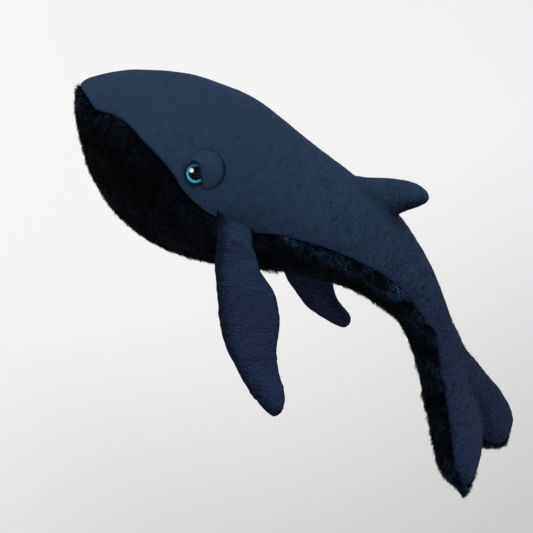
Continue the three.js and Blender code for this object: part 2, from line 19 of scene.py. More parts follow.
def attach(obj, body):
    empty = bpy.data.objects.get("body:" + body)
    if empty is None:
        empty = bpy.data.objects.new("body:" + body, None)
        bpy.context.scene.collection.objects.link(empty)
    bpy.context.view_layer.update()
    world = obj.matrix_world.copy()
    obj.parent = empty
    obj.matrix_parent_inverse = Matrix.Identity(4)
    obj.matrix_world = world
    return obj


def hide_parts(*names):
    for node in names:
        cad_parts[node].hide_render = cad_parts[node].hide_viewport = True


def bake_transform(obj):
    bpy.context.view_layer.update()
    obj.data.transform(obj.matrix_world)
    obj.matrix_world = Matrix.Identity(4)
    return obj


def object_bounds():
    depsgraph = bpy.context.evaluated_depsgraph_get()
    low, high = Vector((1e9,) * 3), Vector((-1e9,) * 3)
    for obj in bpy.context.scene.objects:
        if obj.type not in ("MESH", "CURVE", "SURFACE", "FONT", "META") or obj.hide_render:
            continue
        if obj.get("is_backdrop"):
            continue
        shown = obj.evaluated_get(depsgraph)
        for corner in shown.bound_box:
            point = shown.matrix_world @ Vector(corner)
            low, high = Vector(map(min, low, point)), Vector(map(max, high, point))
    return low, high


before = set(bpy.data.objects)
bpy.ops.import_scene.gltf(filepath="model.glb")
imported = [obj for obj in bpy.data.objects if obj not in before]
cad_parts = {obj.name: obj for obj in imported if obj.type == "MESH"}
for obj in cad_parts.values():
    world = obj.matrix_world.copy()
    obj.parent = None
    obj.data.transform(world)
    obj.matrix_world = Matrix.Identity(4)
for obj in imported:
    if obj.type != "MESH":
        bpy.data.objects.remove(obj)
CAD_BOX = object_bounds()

LOG = logging.getLogger("whale")
MM = 0.001
Rows = Sequence[Sequence[float]]
Array = np.ndarray
Reals = "float | np.ndarray"
Number = "Value | float"
Piece = bpy.types.Object
Tube = tuple[np.ndarray, Vector, Vector]

# Body sections from the snout to the end of the tail root, each a share of the body length, then
# the top and the underside as shares of the crown height, then the half width as a share of half
# the head's width
BODY_SECTION_SHARES: Rows = (
    (0.006, 0.4, 0.298, 0.1),
    (0.018, 0.455, 0.27, 0.2),
    (0.034, 0.517, 0.232, 0.32),
    (0.055, 0.59, 0.188, 0.455),
    (0.079, 0.65, 0.14, 0.572),
    (0.113, 0.727, 0.077, 0.703),
    (0.152, 0.801, 0.03, 0.826),
    (0.192, 0.853, 0.004, 0.918),
    (0.231, 0.897, 0.0, 0.978),
    (0.271, 0.923, 0.004, 1.0),
    (0.31, 0.934, 0.035, 0.987),
    (0.35, 0.942, 0.085, 0.942),
    (0.389, 0.954, 0.147, 0.885),
    (0.429, 0.97, 0.233, 0.808),
    (0.468, 0.982, 0.32, 0.731),
    (0.508, 0.996, 0.405, 0.66),
    (0.547, 1.0, 0.477, 0.598),
    (0.587, 0.99, 0.535, 0.545),
    (0.627, 0.965, 0.578, 0.487),
    (0.666, 0.932, 0.598, 0.425),
    (0.702, 0.889, 0.601, 0.385),
    (0.735, 0.838, 0.566, 0.38),
    (0.765, 0.785, 0.522, 0.388),
    (0.795, 0.722, 0.481, 0.37),
    (0.828, 0.642, 0.456, 0.28),
    (0.86, 0.575, 0.444, 0.17),
)
SNOUT_SHARES = (0.0, 0.346)
TAIL_ROOT_END_SHARES = (0.882, 0.487)

# One fluke's sections: share of the body length, centre and half width as shares of half the
# span, height as a share of the crown height, half thickness as a share of half the thickness
FLUKE_SECTION_SHARES: Rows = (
    (0.765, 0.17, 0.18, 0.648, 0.86),
    (0.795, 0.165, 0.28, 0.601, 1.0),
    (0.824, 0.13, 0.37, 0.545, 1.12),
    (0.856, 0.18, 0.455, 0.502, 1.16),
    (0.887, 0.25, 0.53, 0.458, 1.17),
    (0.919, 0.36, 0.557, 0.419, 1.12),
    (0.943, 0.432, 0.52, 0.397, 1.01),
    (0.963, 0.51, 0.436, 0.382, 0.84),
    (0.978, 0.58, 0.345, 0.365, 0.62),
    (0.99, 0.65, 0.24, 0.335, 0.38),
    (0.997, 0.71, 0.12, 0.305, 0.14),
)
FLUKE_START_SHARES = (0.745, 0.12, 0.68)
FLUKE_TIP_SHARES = (1.0, 0.73, 0.295)

# The seam between the cloth above and the fur below: shares of body length and crown height
SEAM_SHARES: Rows = (
    (0.0, 0.346),
    (0.012, 0.36),
    (0.028, 0.38),
    (0.059, 0.41),
    (0.079, 0.458),
    (0.103, 0.5),
    (0.13, 0.526),
    (0.164, 0.539),
    (0.194, 0.549),
    (0.233, 0.55),
    (0.275, 0.523),
    (0.336, 0.521),
    (0.375, 0.546),
    (0.417, 0.584),
    (0.449, 0.645),
    (0.489, 0.696),
    (0.526, 0.741),
    (0.58, 0.79),
    (0.615, 0.81),
    (0.652, 0.814),
    (0.684, 0.804),
    (0.711, 0.782),
    (0.741, 0.763),
    (0.765, 0.745),
    (0.795, 0.685),
    (0.824, 0.627),
    (0.856, 0.578),
    (0.887, 0.528),
    (0.919, 0.476),
    (0.943, 0.437),
    (0.963, 0.409),
    (0.986, 0.375),
    (1.0, 0.353),
)
THROAT_END_SHARE = 0.4

# Dorsal fin sections: height as a share of the rise above the crown, front and rear edge as
# shares of the chord behind the fin's foot, half thickness as a share of half the thickness
DORSAL_SECTION_SHARES: Rows = (
    (-0.3, 0.0, 0.9, 1.0),
    (-0.02, 0.15, 0.89, 0.92),
    (0.2, 0.29, 0.9, 0.85),
    (0.46, 0.43, 0.96, 0.8),
    (0.72, 0.59, 1.02, 0.74),
    (0.88, 0.71, 1.035, 0.64),
    (0.97, 0.81, 1.0, 0.46),
)
DORSAL_FOOT_SHARE = 0.446
DORSAL_TIP_SHARES = (1.0, 0.915)

# Pectoral fin sections from the root to the tip: the middle as shares of reach, splay and drop,
# the chord's run back, inward and up as shares of the full chord, and the half thickness as a
# share of half the thickness
FIN_SECTION_SHARES: Rows = (
    (0.08, 0.03, 0.12, 0.62, 0.1, 0.3, 0.76),
    (0.16, 0.05, 0.258, 0.6, 0.06, 0.5, 0.84),
    (0.248, 0.09, 0.35, 0.59, 0.07, 0.66, 0.94),
    (0.332, 0.14, 0.437, 0.58, 0.08, 0.82, 1.0),
    (0.419, 0.2, 0.553, 0.51, 0.1, 0.94, 1.0),
    (0.518, 0.26, 0.674, 0.39, 0.13, 0.98, 0.97),
    (0.608, 0.34, 0.775, 0.21, 0.16, 0.89, 0.92),
    (0.691, 0.415, 0.865, 0.06, 0.2, 0.77, 0.87),
    (0.775, 0.53, 0.92, -0.05, 0.27, 0.64, 0.82),
    (0.853, 0.66, 0.955, -0.1, 0.29, 0.52, 0.75),
    (0.925, 0.8, 0.975, -0.08, 0.25, 0.42, 0.66),
    (0.975, 0.93, 0.99, -0.05, 0.17, 0.29, 0.5),
)
FIN_TIP_SHARES = (1.0, 1.0, 0.995)
FIN_ROOT_SHARE = 0.386
FIN_ROOT_RUN_SHARES = (0.965, 0.22, 0.14)
FIN_FACE_SHARES = (-0.1, -0.89, 0.44)
FIN_CREASE_SHARES = (0.68, -0.35, -0.65)

HINGE_SHARE = 0.728
EYE_SHARE, EYE_DEGREES = 0.2727, 21.8
LID_SHARE, LID_DEGREES = 0.2802, 27.4
WALL_SHARP_DEGREES, MOULDING_SHARP_DEGREES = 55, 38


class Side(Enum):
    """The whale's two sides, with the sign of y on each."""

    LEFT = -1
    RIGHT = 1

    @property
    def word(self) -> str:
        """The side's name, as the nodes use it."""
        return self.name.lower()


class Edge(Enum):
    """The ways in which a skin ends at a seam."""

    CLOTH = "cloth"
    FUR = "fur"


def srgb(red: float, green: float, blue: float) -> tuple[float, float, float, float]:
    """Turns a colour as a screen shows it, 0 to 255, into the linear colour that a shader takes.

    Args:
        red: How red it is.
        green: How green it is.
        blue: How blue it is.

    Returns:
        The linear red, green and blue, and 1 for opaque.
    """
    parts = [value / 255 for value in (red, green, blue)]
    linear = [p / 12.92 if p <= 0.04045 else ((p + 0.055) / 1.055) ** 2.4 for p in parts]
    return (linear[0], linear[1], linear[2], 1.0)


def through(knots: Sequence[float], rows: Rows, at: Array) -> Array:
    """Runs smooth curves through rows of values.

    Args:
        knots: The rising places of the rows.
        rows: The values at each knot.
        at: The places that are asked for.

    Returns:
        One row of values for each place.
    """
    knots, values = np.asarray(knots, float), np.asarray(rows, float)
    gaps = np.diff(knots)
    rise = np.diff(values, axis=0) / gaps[:, None]
    slopes = np.empty_like(values)
    slopes[1:-1] = gaps[:-1, None] * rise[1:] + gaps[1:, None] * rise[:-1]
    slopes[1:-1] /= (gaps[:-1] + gaps[1:])[:, None]
    slopes[0], slopes[-1] = rise[0], rise[-1]
    low = np.clip(np.searchsorted(knots, at) - 1, 0, len(knots) - 2)
    gap = gaps[low][:, None]
    t = np.clip((np.asarray(at, float) - knots[low]) / gaps[low], 0, 1)[:, None]
    from_low = (2 * t**3 - 3 * t**2 + 1) * values[low] + (t**3 - 2 * t**2 + t) * gap * slopes[low]
    to_high = (3 * t**2 - 2 * t**3) * values[low + 1] + (t**3 - t**2) * gap * slopes[low + 1]
    return from_low + to_high


def lumps(points: Array, size: float, seed: int) -> Array:
    """Smooth random bumps in space, from -1 to 1.

    Args:
        points: The places as rows.
        size: The distance over which the bumps change.
        seed: Chooses one pattern.

    Returns:
        One value for each place.
    """
    scaled = np.asarray(points, float) / size + 1000.0
    cell = np.floor(scaled).astype(np.int64)
    t = scaled - cell
    t = t * t * (3 - 2 * t)
    total = np.zeros(len(scaled))
    for corner in np.ndindex(2, 2, 2):
        at = cell + corner
        mixed = at[:, 0] * 73856093 ^ at[:, 1] * 19349663 ^ at[:, 2] * 83492791 ^ seed * 2654435761
        mixed = (mixed ^ (mixed >> 13)) * 1274126177 & 0x7FFFFFFF
        share = np.prod(np.where(np.array(corner) == 1, t, 1 - t), axis=1)
        total += share * (((mixed >> 7) & 0xFFFF) / 32767.5 - 1)
    return total


def unit(vectors: Array) -> Array:
    """Scales each row to length one."""
    return vectors / np.maximum(np.linalg.norm(vectors, axis=-1, keepdims=True), 1e-12)


def root(values: Array) -> Array:
    """The square root, with 0 for what lies below 0."""
    return np.sqrt(np.maximum(values, 0))


def columns(*parts: Reals) -> Array:
    """Puts values side by side, so that each place has a row."""
    return np.stack(np.broadcast_arrays(*parts), axis=1)


def bell(values: Array, reach: float) -> Array:
    """1 at zero, and down to a third at the reach on both sides, with a round top."""
    return np.exp(-((values / reach) ** 2))


def fading(distance: Array, reach: float) -> Array:
    """1 at zero, and down to a third at the reach, with a sharp top."""
    return np.exp(-distance / reach)


def ramp(values: Array, start: float, width: float) -> Array:
    """Goes from 0 at the start to 1 after the width; a negative width goes the other way."""
    return np.clip((values - start) / width, 0, 1)


def flattened(vectors: "Array | tuple", normals: Array) -> Array:
    """What is left of vectors along the skin."""
    return vectors - normals * np.sum(vectors * normals, axis=1, keepdims=True)


class Value:
    """An output socket that takes part in expressions, each of which adds its Math nodes."""

    def __init__(self, tree: "Tree", socket: bpy.types.NodeSocket) -> None:
        """Wraps one output socket of a node in a tree."""
        self.tree = tree
        self.socket = socket

    def out(self, name: str) -> "Value":
        """Another output of the same node."""
        return Value(self.tree, self.socket.node.outputs[name])

    def _math(self, operation: str, first: Number, second: Number) -> "Value":
        """Adds one Math node on two values."""
        return self.tree.node("ShaderNodeMath", {"operation": operation}, {0: first, 1: second})

    def __add__(self, other: Number) -> "Value":
        """Sum."""
        return self._math("ADD", self, other)

    def __sub__(self, other: Number) -> "Value":
        """Difference."""
        return self._math("SUBTRACT", self, other)

    def __rsub__(self, other: Number) -> "Value":
        """Difference, from the right."""
        return self._math("SUBTRACT", other, self)

    def __mul__(self, other: Number) -> "Value":
        """Product."""
        return self._math("MULTIPLY", self, other)

    def __truediv__(self, other: Number) -> "Value":
        """Quotient."""
        return self._math("DIVIDE", self, other)

    def __pow__(self, other: Number) -> "Value":
        """Power."""
        return self._math("POWER", self, other)

    __radd__ = __add__
    __rmul__ = __mul__

    def size(self) -> "Value":
        """The value without its sign."""
        return self._math("ABSOLUTE", self, 0.0)

    def rising(self, low: float, high: float) -> "Value":
        """Goes smoothly from 0 at a low value to 1 at a high one."""
        settings = {"interpolation_type": "SMOOTHSTEP"}
        return self.tree.node("ShaderNodeMapRange", settings, {0: self, 1: low, 2: high})


class Tree:
    """A node tree that is written as calls and expressions."""

    def __init__(self, tree: bpy.types.NodeTree) -> None:
        """Starts on an empty tree."""
        self.tree = tree

    def node(
        self,
        kind: str,
        settings: Optional[dict] = None,
        inputs: Optional[dict] = None,
        output: "int | str" = 0,
    ) -> Value:
        """Adds a node.

        Args:
            kind: The node's type.
            settings: Its settings, which are set first.
            inputs: A value or a wrapped socket for each input's name or number.
            output: The output that is returned.

        Returns:
            The wrapped output.
        """
        node = self.tree.nodes.new(kind)
        for name, value in (settings or {}).items():
            setattr(node, name, value)
        for name, value in (inputs or {}).items():
            if isinstance(value, Value):
                self.tree.links.new(value.socket, node.inputs[name])
            else:
                node.inputs[name].default_value = value
        return Value(self, node.outputs[output]) if len(node.outputs) else Value(self, None)

    def scaled(self, vector: Value, factors: tuple[float, float, float]) -> Value:
        """A vector times fixed factors."""
        settings = {"operation": "MULTIPLY"}
        return self.node("ShaderNodeVectorMath", settings, {0: vector, 1: factors}, "Vector")

    def plus(self, first: Value, second: "Value | tuple") -> Value:
        """The sum of two vectors."""
        return self.node("ShaderNodeVectorMath", {"operation": "ADD"}, {0: first, 1: second}, "Vector")

    def by(self, vector: Value, factor: Number) -> Value:
        """A vector times a number."""
        inputs = {0: vector, "Scale": factor}
        return self.node("ShaderNodeVectorMath", {"operation": "SCALE"}, inputs, "Vector")

    def mixed(self, factor: Number, low: "Value | tuple", high: "Value | tuple") -> Value:
        """A colour between two colours."""
        return self.node("ShaderNodeMix", {"data_type": "RGBA"}, {0: factor, 6: low, 7: high}, 2)

    def noise(self, place: Value, scale: float, detail: float = 2.0, output: "int | str" = 0) -> Value:
        """Noise of a fineness, as a value round one half or as a colour."""
        inputs = {"Vector": place, "Scale": scale, "Detail": detail}
        return self.node("ShaderNodeTexNoise", None, inputs, output)

    def cells(self, place: Value) -> Value:
        """The distance to the edge of the cell, in a net of random cells of size one."""
        settings = {"feature": "DISTANCE_TO_EDGE"}
        return self.node("ShaderNodeTexVoronoi", settings, {"Vector": place, "Scale": 1.0})

    def attribute(self, name: str, output: str = "Fac") -> Value:
        """What a mesh keeps under a name, for a material."""
        return self.node("ShaderNodeAttribute", {"attribute_name": name}, None, output)

    def kept(self, name: str, kind: str = "FLOAT") -> Value:
        """What a mesh keeps under a name, for a geometry tree."""
        settings, inputs = {"data_type": kind}, {"Name": name}
        return self.node("GeometryNodeInputNamedAttribute", settings, inputs, "Attribute")

    def keep(self, geometry: Value, domain: str, name: str, value: Value) -> Value:
        """A geometry that keeps a number under a name."""
        settings = {"data_type": "FLOAT", "domain": domain}
        inputs = {"Geometry": geometry, "Name": name, "Value": value}
        return self.node("GeometryNodeStoreNamedAttribute", settings, inputs)

    def move(self, geometry: Value, how: str, vector: Value) -> Value:
        """A geometry whose points go to a Position or by an Offset."""
        return self.node("GeometryNodeSetPosition", None, {"Geometry": geometry, how: vector})

    def random(self, low: float, high: float, seed: Value) -> Value:
        """A random number for each element."""
        inputs = {2: low, 3: high, "Seed": seed}
        return self.node("FunctionNodeRandomValue", {"data_type": "FLOAT"}, inputs, 1)

    def object_place(self) -> Value:
        """The place in the object's own space."""
        return self.node("ShaderNodeTexCoord", None, None, "Object")

    def parts(self, vector: Value, part: str = "Z") -> Value:
        """One part of a vector, with the others as outputs of the same node."""
        return self.node("ShaderNodeSeparateXYZ", None, {0: vector}, part)

    def joined(self, x: Number, y: Number, z: Number) -> Value:
        """A vector from its three parts."""
        return self.node("ShaderNodeCombineXYZ", None, {"X": x, "Y": y, "Z": z})

    def away(self, middle: Sequence[float]) -> Value:
        """The distance from a point that lies the same on both sides of the head."""
        parts = self.parts(self.object_place())
        where = self.joined(parts.out("X"), parts.out("Y").size(), parts)
        return self.node("ShaderNodeVectorMath", {"operation": "DISTANCE"}, {0: where, 1: middle}, "Value")

    def bump(self, height: Value, distance: float, strength: float) -> Value:
        """A surface direction that follows a height."""
        inputs = {"Strength": strength, "Distance": distance, "Height": height}
        return self.node("ShaderNodeBump", None, inputs, "Normal")

    def backdrop_rays(self) -> Value:
        """1 for the rays that show the backdrop: from the camera, off gloss, through clear parts."""
        path = self.node("ShaderNodeLightPath", None, None, "Is Camera Ray")
        return (path + path.out("Is Glossy Ray") + path.out("Is Transmission Ray")).rising(0.0, 1.0)


def emptied(block: "bpy.types.Material | bpy.types.World") -> Tree:
    """The tree of a new material or world, without its standard nodes."""
    block.use_nodes = True
    block.node_tree.nodes.clear()
    return Tree(block.node_tree)


class Finish:
    """A surface finish that makes its material once."""

    name: str

    def material(self) -> bpy.types.Material:
        """The finish's material, made at the first call.

        Returns:
            The material.
        """
        title = f"{self.name}_finish"
        found = bpy.data.materials.get(title)
        if not found:
            found = bpy.data.materials.new(title)
            self.dress(emptied(found))
        return found

    def dress(self, tree: Tree) -> None:
        """Adds the finish's nodes."""
        raise NotImplementedError

    @staticmethod
    def shader(tree: Tree, **inputs: "Value | float | tuple") -> None:
        """Adds the surface shader, with underscores for the spaces in its inputs' names."""
        named = {name.replace("_", " "): value for name, value in inputs.items()}
        surface = tree.node("ShaderNodeBsdfPrincipled", None, named)
        tree.node("ShaderNodeOutputMaterial", None, {"Surface": surface})


@dataclass(frozen=True)
class CrinkleCloth(Finish):
    """Navy crinkled jersey, whose creases run across the length of each stuffed form, with painted shade
    in its creases.
    """

    name: str = "crinkle_cloth"
    low_colour: tuple = srgb(38, 50, 77)
    top_lit_colour: tuple = srgb(42, 60, 82)
    # The colour of the painted shade in creases and by seams.
    crease: tuple = srgb(12, 16, 29)
    rim_light: tuple = srgb(92, 116, 152)
    spacing: float = 2.6 * MM
    length: float = 4.2 * MM
    line_spacing: float = 4.2 * MM
    line_length: float = 24.0 * MM
    grain: float = 1.0 * MM
    mottle: float = 8.0 * MM
    patch: float = 55.0 * MM
    relief: float = 0.6 * MM
    top_light_heights: tuple = (0.05, 0.2)
    net_strength: float = 0.62
    line_strength: float = 0.5
    lid: tuple = (-0.1099, 0.0674, 0.1165)
    lid_radius: float = 16.9 * MM
    lid_shade_width: float = 0.75 * MM
    eye: tuple = (-0.1137, 0.0722, 0.1088)
    eye_radius: float = 9.5 * MM
    # Painted shade round each eye: a thin dark line and a wide soft ring.
    eye_shade_rings: tuple = ((0.8 * MM, 0.6), (6.0 * MM, 0.26))

    def dress(self, tree: Tree) -> None:
        """Adds the cloth's nodes."""
        place = tree.attribute("cloth_place", "Vector")
        crinkle = tree.attribute("crinkle")
        weave = tree.noise(place, 1 / self.grain)
        patches = tree.noise(place, 1 / self.patch)
        mottle = tree.noise(place, 1 / self.mottle, 3.0) - 0.5
        height = 1 - (1 - self._creases(tree, place, crinkle)) * (crinkle * 0.85 + 0.15)
        parts = tree.parts(tree.object_place())
        # Painted light from above: the cloth turns lighter and tealer higher up and towards the head, with
        # random patches and mottle on top.
        top_light_and_tone = parts - parts.out("X") * 0.35 + (patches - 0.5) * 0.06 + mottle * 0.16
        base = tree.mixed(top_light_and_tone.rising(*self.top_light_heights), self.low_colour, self.top_lit_colour)
        # Painted shade: the colour goes towards the crease colour in the creases, by the lid and eye lines
        # and by the stored shade, mixed with random tone from weave, patches and mottle.
        depth = (1 - height) * 0.75 + (0.5 - weave) * 0.95 + (0.5 - patches) * 0.2 + 0.08 - mottle * 0.3
        sewn = self._lid_shade_line(tree, parts)
        for width, strength in self.eye_shade_rings:
            sewn = sewn + self._ring(tree, self.eye, self.eye_radius, width) * strength
        painted_shade_and_tone = (depth + sewn + tree.attribute("shade") * 0.9).rising(-0.05, 1.05)
        colour = tree.mixed(painted_shade_and_tone, base, self.crease)
        self.shader(
            tree,
            # Painted highlight: a light line along the seam behind the eye, where the turned cloth would
            # catch the light.
            Base_Color=tree.mixed(tree.attribute("rim"), colour, self.rim_light),
            Roughness=0.97 - height * 0.08,
            Sheen_Weight=0.03,
            Sheen_Roughness=0.5,
            Sheen_Tint=srgb(120, 150, 200),
            Specular_IOR_Level=0.04,
            Normal=tree.bump(height + weave * 0.15, self.relief, 0.85),
        )

    def _creases(self, tree: Tree, place: Value, crinkle: Value) -> Value:
        """A net of fine creases with longer ones across it; 0 in a crease and 1 between them.

        Args:
            tree: The material's tree.
            place: The place along the cloth.
            crinkle: How strongly the cloth creases.

        Returns:
            The height of the cloth.
        """
        wander = tree.noise(place, 0.6 / self.length, 3.0, "Color")
        cell_scale = (1 / self.spacing, 1 / self.length, 1 / self.length)
        line_scale = (1 / self.line_spacing, 1 / self.line_length, 1 / self.line_length)
        cells = tree.cells(tree.plus(tree.scaled(place, cell_scale), tree.by(wander, 1.6)))
        line_place = tree.plus(tree.scaled(place, line_scale), tree.by(wander, 0.8))
        lines = (tree.noise(line_place, 1.0, 3.0) - 0.5).size()
        net = (1 - cells.rising(-0.04, 0.2)) * self.net_strength
        return 1 - net - (1 - lines.rising(-0.005, 0.05)) * crinkle * self.line_strength

    def _lid_shade_line(self, tree: Tree, parts: Value) -> Value:
        """A painted shade line round each lid: firm behind it, and gone below the eye.

        Args:
            tree: The material's tree.
            parts: The object's place, as its parts.

        Returns:
            How dark the painted shade line is.
        """
        behind = (parts.out("X") - self.lid[0]) * (1 / self.lid_radius)
        below = behind * -0.46 - (parts - self.lid[2]) * (0.86 / self.lid_radius)
        line = self._ring(tree, self.lid, self.lid_radius, self.lid_shade_width)
        return line * (1 - below.rising(0.1, 0.55)) * (behind * 0.35 + 0.5)

    @staticmethod
    def _ring(tree: Tree, middle: Sequence[float], radius: float, width: float) -> Value:
        """A painted shade line round a circle on each side of the head."""
        return 1 - (tree.away(middle) - radius).size().rising(0.0, width)


@dataclass(frozen=True)
class FurBacking(Finish):
    """The knitted ground of the fur, seen between the strands."""

    name: str = "fur_backing"
    dark: tuple = srgb(2, 2, 4)
    light: tuple = srgb(6, 8, 13)
    tuft: float = 2.2 * MM

    def dress(self, tree: Tree) -> None:
        """Adds the backing's nodes."""
        tufts = tree.noise(tree.object_place(), 1 / self.tuft, 3.0)
        self.shader(
            tree,
            Base_Color=tree.mixed(tufts.rising(0.35, 0.7), self.dark, self.light),
            Roughness=0.95,
            Specular_IOR_Level=0.02,
            Normal=tree.bump(tufts, self.tuft / 3, 0.8),
        )


@dataclass(frozen=True)
class FurStrands(Finish):
    """The short pile: near black, with a painted blue sheen where the light would catch the lying strands.
    """

    name: str = "fur_strands"
    root: tuple = srgb(2, 2, 4)
    tip: tuple = srgb(9, 11, 18)
    sheen_tip: tuple = srgb(78, 126, 168)

    def dress(self, tree: Tree) -> None:
        """Adds the strands' nodes."""
        tone = tree.attribute("tone")
        # Painted sheen: the strand tips turn light blue where the stored sheen mask says.
        tip = tree.mixed(tree.attribute("glow") * (tone * 0.9 + 0.3), self.tip, self.sheen_tip)
        self.shader(
            tree,
            Base_Color=tree.mixed(tree.attribute("along").rising(0.1, 1.0), self.root, tip),
            Roughness=0.7 - tone * 0.16,
            Sheen_Weight=0.02,
            Sheen_Roughness=0.4,
            Sheen_Tint=srgb(90, 130, 200),
            Specular_IOR_Level=0.06,
        )


@dataclass(frozen=True)
class Stuffing(Finish):
    """Loose white polyester fibre."""

    name: str = "fibre_stuffing"
    light: tuple = srgb(236, 234, 228)
    shade: tuple = srgb(203, 200, 192)
    clump: float = 7.0 * MM

    def dress(self, tree: Tree) -> None:
        """Adds the fibre's nodes."""
        clumps = tree.noise(tree.object_place(), 1 / self.clump, 6.0)
        self.shader(
            tree,
            Base_Color=tree.mixed(clumps.rising(0.3, 0.7), self.shade, self.light),
            Roughness=1.0,
            Sheen_Weight=0.4,
            Specular_IOR_Level=0.1,
            Normal=tree.bump(clumps, self.clump / 4, 1.0),
        )


@dataclass(frozen=True)
class Plastic(Finish):
    """A moulded plastic with faint handling marks."""

    name: str
    colour: tuple
    roughness: float
    specular: float = 0.5
    mark: float = 2.5 * MM

    def dress(self, tree: Tree) -> None:
        """Adds the plastic's nodes."""
        marks = tree.noise(tree.object_place(), 1 / self.mark, 4.0)
        deep = tuple(channel * 0.85 for channel in self.colour[:3]) + (1.0,)
        self.shader(
            tree,
            Base_Color=tree.mixed(marks, deep, self.colour),
            Roughness=self.roughness + marks * 0.05,
            Specular_IOR_Level=self.specular,
        )


@dataclass(frozen=True)
class PaintedGlint:
    """A painted white highlight over the edge between iris and pupil, on both eyes, in place of a
    reflection.
    """

    middle: tuple[float, float, float]
    radius: float = 2.0 * MM
    blur: float = 0.5 * MM
    white: tuple = srgb(250, 250, 250)

    def over(self, tree: Tree, colour: "Value | tuple") -> Value:
        """A colour with the painted highlight on it."""
        spot = 1 - tree.away(self.middle).rising(self.radius - self.blur, self.radius)
        return tree.mixed(spot, colour, self.white)


@dataclass(frozen=True)
class IrisPaint(Finish):
    """Turquoise paint behind the dome, with painted light that makes it deeper at the top and bright at
    the bottom, and a painted white highlight.
    """

    paintedglint: PaintedGlint
    name: str = "iris_paint"
    deep: tuple = srgb(4, 96, 112)
    bright: tuple = srgb(34, 212, 234)
    ray: float = 0.35 * MM
    low: float = 0.098
    high: float = 0.116

    def dress(self, tree: Tree) -> None:
        """Adds the paint's nodes."""
        place = tree.object_place()
        # Painted light: deeper turquoise at the top and bright at the bottom, as if lit through the dome
        # from above.
        painted_light_fall = tree.parts(place).rising(self.low, self.high)
        rays = tree.noise(place, 1 / self.ray)
        paint = tree.mixed(painted_light_fall + (rays - 0.5) * 0.3, self.bright, self.deep)
        self.shader(tree, Base_Color=self.paintedglint.over(tree, paint), Roughness=0.35, Specular_IOR_Level=0.1)


@dataclass(frozen=True)
class PupilPrint(Finish):
    """The black pupil, with its part of the painted white highlight."""

    paintedglint: PaintedGlint
    name: str = "pupil_print"
    colour: tuple = srgb(2, 2, 3)
    mark: float = 2.5 * MM

    def dress(self, tree: Tree) -> None:
        """Adds the pupil's nodes."""
        marks = tree.noise(tree.object_place(), 1 / self.mark, 4.0)
        self.shader(
            tree,
            Base_Color=self.paintedglint.over(tree, self.colour),
            Roughness=0.5 + marks * 0.05,
            Specular_IOR_Level=0.0,
        )


@dataclass(frozen=True)
class ClearDome(Finish):
    """Clear polished plastic."""

    name: str = "clear_dome"
    colour: tuple = (0.97, 0.985, 0.99, 1.0)
    haze: float = 2.5 * MM

    def dress(self, tree: Tree) -> None:
        """Adds the dome's nodes."""
        haze = tree.noise(tree.object_place(), 1 / self.haze)
        self.shader(
            tree,
            Base_Color=self.colour,
            Roughness=0.015 + haze * 0.02,
            Transmission_Weight=1.0,
            IOR=1.15,
            Specular_IOR_Level=0.0,
        )


def linked(name: str, data: bpy.types.ID) -> Piece:
    """A new object with the data, linked to the scene."""
    made = bpy.data.objects.new(name, data)
    bpy.context.scene.collection.objects.link(made)
    return made


def object_from(name: str, points: Array, faces: Iterable) -> Piece:
    """Makes a mesh object at the origin.

    Args:
        name: The piece's name.
        points: Its vertices, one row each.
        faces: Each face's vertex numbers.

    Returns:
        The object, linked to the scene.
    """
    mesh = bpy.data.meshes.new(name)
    mesh.from_pydata([tuple(p) for p in points], [], [tuple(int(i) for i in f) for f in faces])
    mesh.validate()
    mesh.polygons.foreach_set("use_smooth", [True] * len(mesh.polygons))
    return linked(name, mesh)


def settle(piece: Piece) -> Piece:
    """Turns a piece's live modifiers into a plain mesh.

    Args:
        piece: The mesh object.

    Returns:
        The same object.
    """
    graph = bpy.context.evaluated_depsgraph_get()
    mesh = bpy.data.meshes.new_from_object(
        piece.evaluated_get(graph), preserve_all_data_layers=True, depsgraph=graph
    )
    piece.modifiers.clear()
    old, piece.data = piece.data, mesh
    bpy.data.meshes.remove(old)
    mesh.name = piece.name
    return piece


def rows_of(items: bpy.types.bpy_prop_collection, key: str) -> Array:
    """Reads one vector of each item, as rows."""
    values = np.empty(len(items) * 3, np.float32)
    items.foreach_get(key, values)
    return values.reshape(-1, 3).astype(float)


def places_of(piece: Piece) -> Array:
    """The piece's vertices as rows."""
    return rows_of(piece.data.vertices, "co")


def normals_of(piece: Piece) -> Array:
    """The piece's vertex normals as rows."""
    return rows_of(piece.data.vertex_normals, "vector")


def stored(piece: Piece, name: str) -> Array:
    """Reads a stored vector back, one row for each vertex."""
    return rows_of(piece.data.attributes[name].data, "vector")


def move_to(piece: Piece, points: Array) -> None:
    """Puts the piece's vertices in new places."""
    piece.data.vertices.foreach_set("co", points.astype(np.float32).ravel())
    piece.data.update()


def store(piece: Piece, name: str, values: Array) -> None:
    """Keeps a number or a vector on each vertex, under a name."""
    kind, key = ("FLOAT_VECTOR", "vector") if values.ndim == 2 else ("FLOAT", "value")
    kept = piece.data.attributes.get(name) or piece.data.attributes.new(name, kind, "POINT")
    kept.data.foreach_set(key, values.astype(np.float32).ravel())


def tell(piece: Piece) -> None:
    """Logs a finished piece."""
    LOG.info("%s: %d faces", piece.name, len(piece.data.polygons))


def turn_outward(piece: Piece, join: float = 0.0) -> None:
    """Makes all faces of a closed piece point out, after joining the vertices within a distance.

    Args:
        piece: The mesh object.
        join: The distance, or 0 to join none.
    """
    work = bmesh.new()
    work.from_mesh(piece.data)
    if join:
        bmesh.ops.remove_doubles(work, verts=work.verts, dist=join)
    bmesh.ops.recalc_face_normals(work, faces=work.faces)
    work.to_mesh(piece.data)
    work.free()


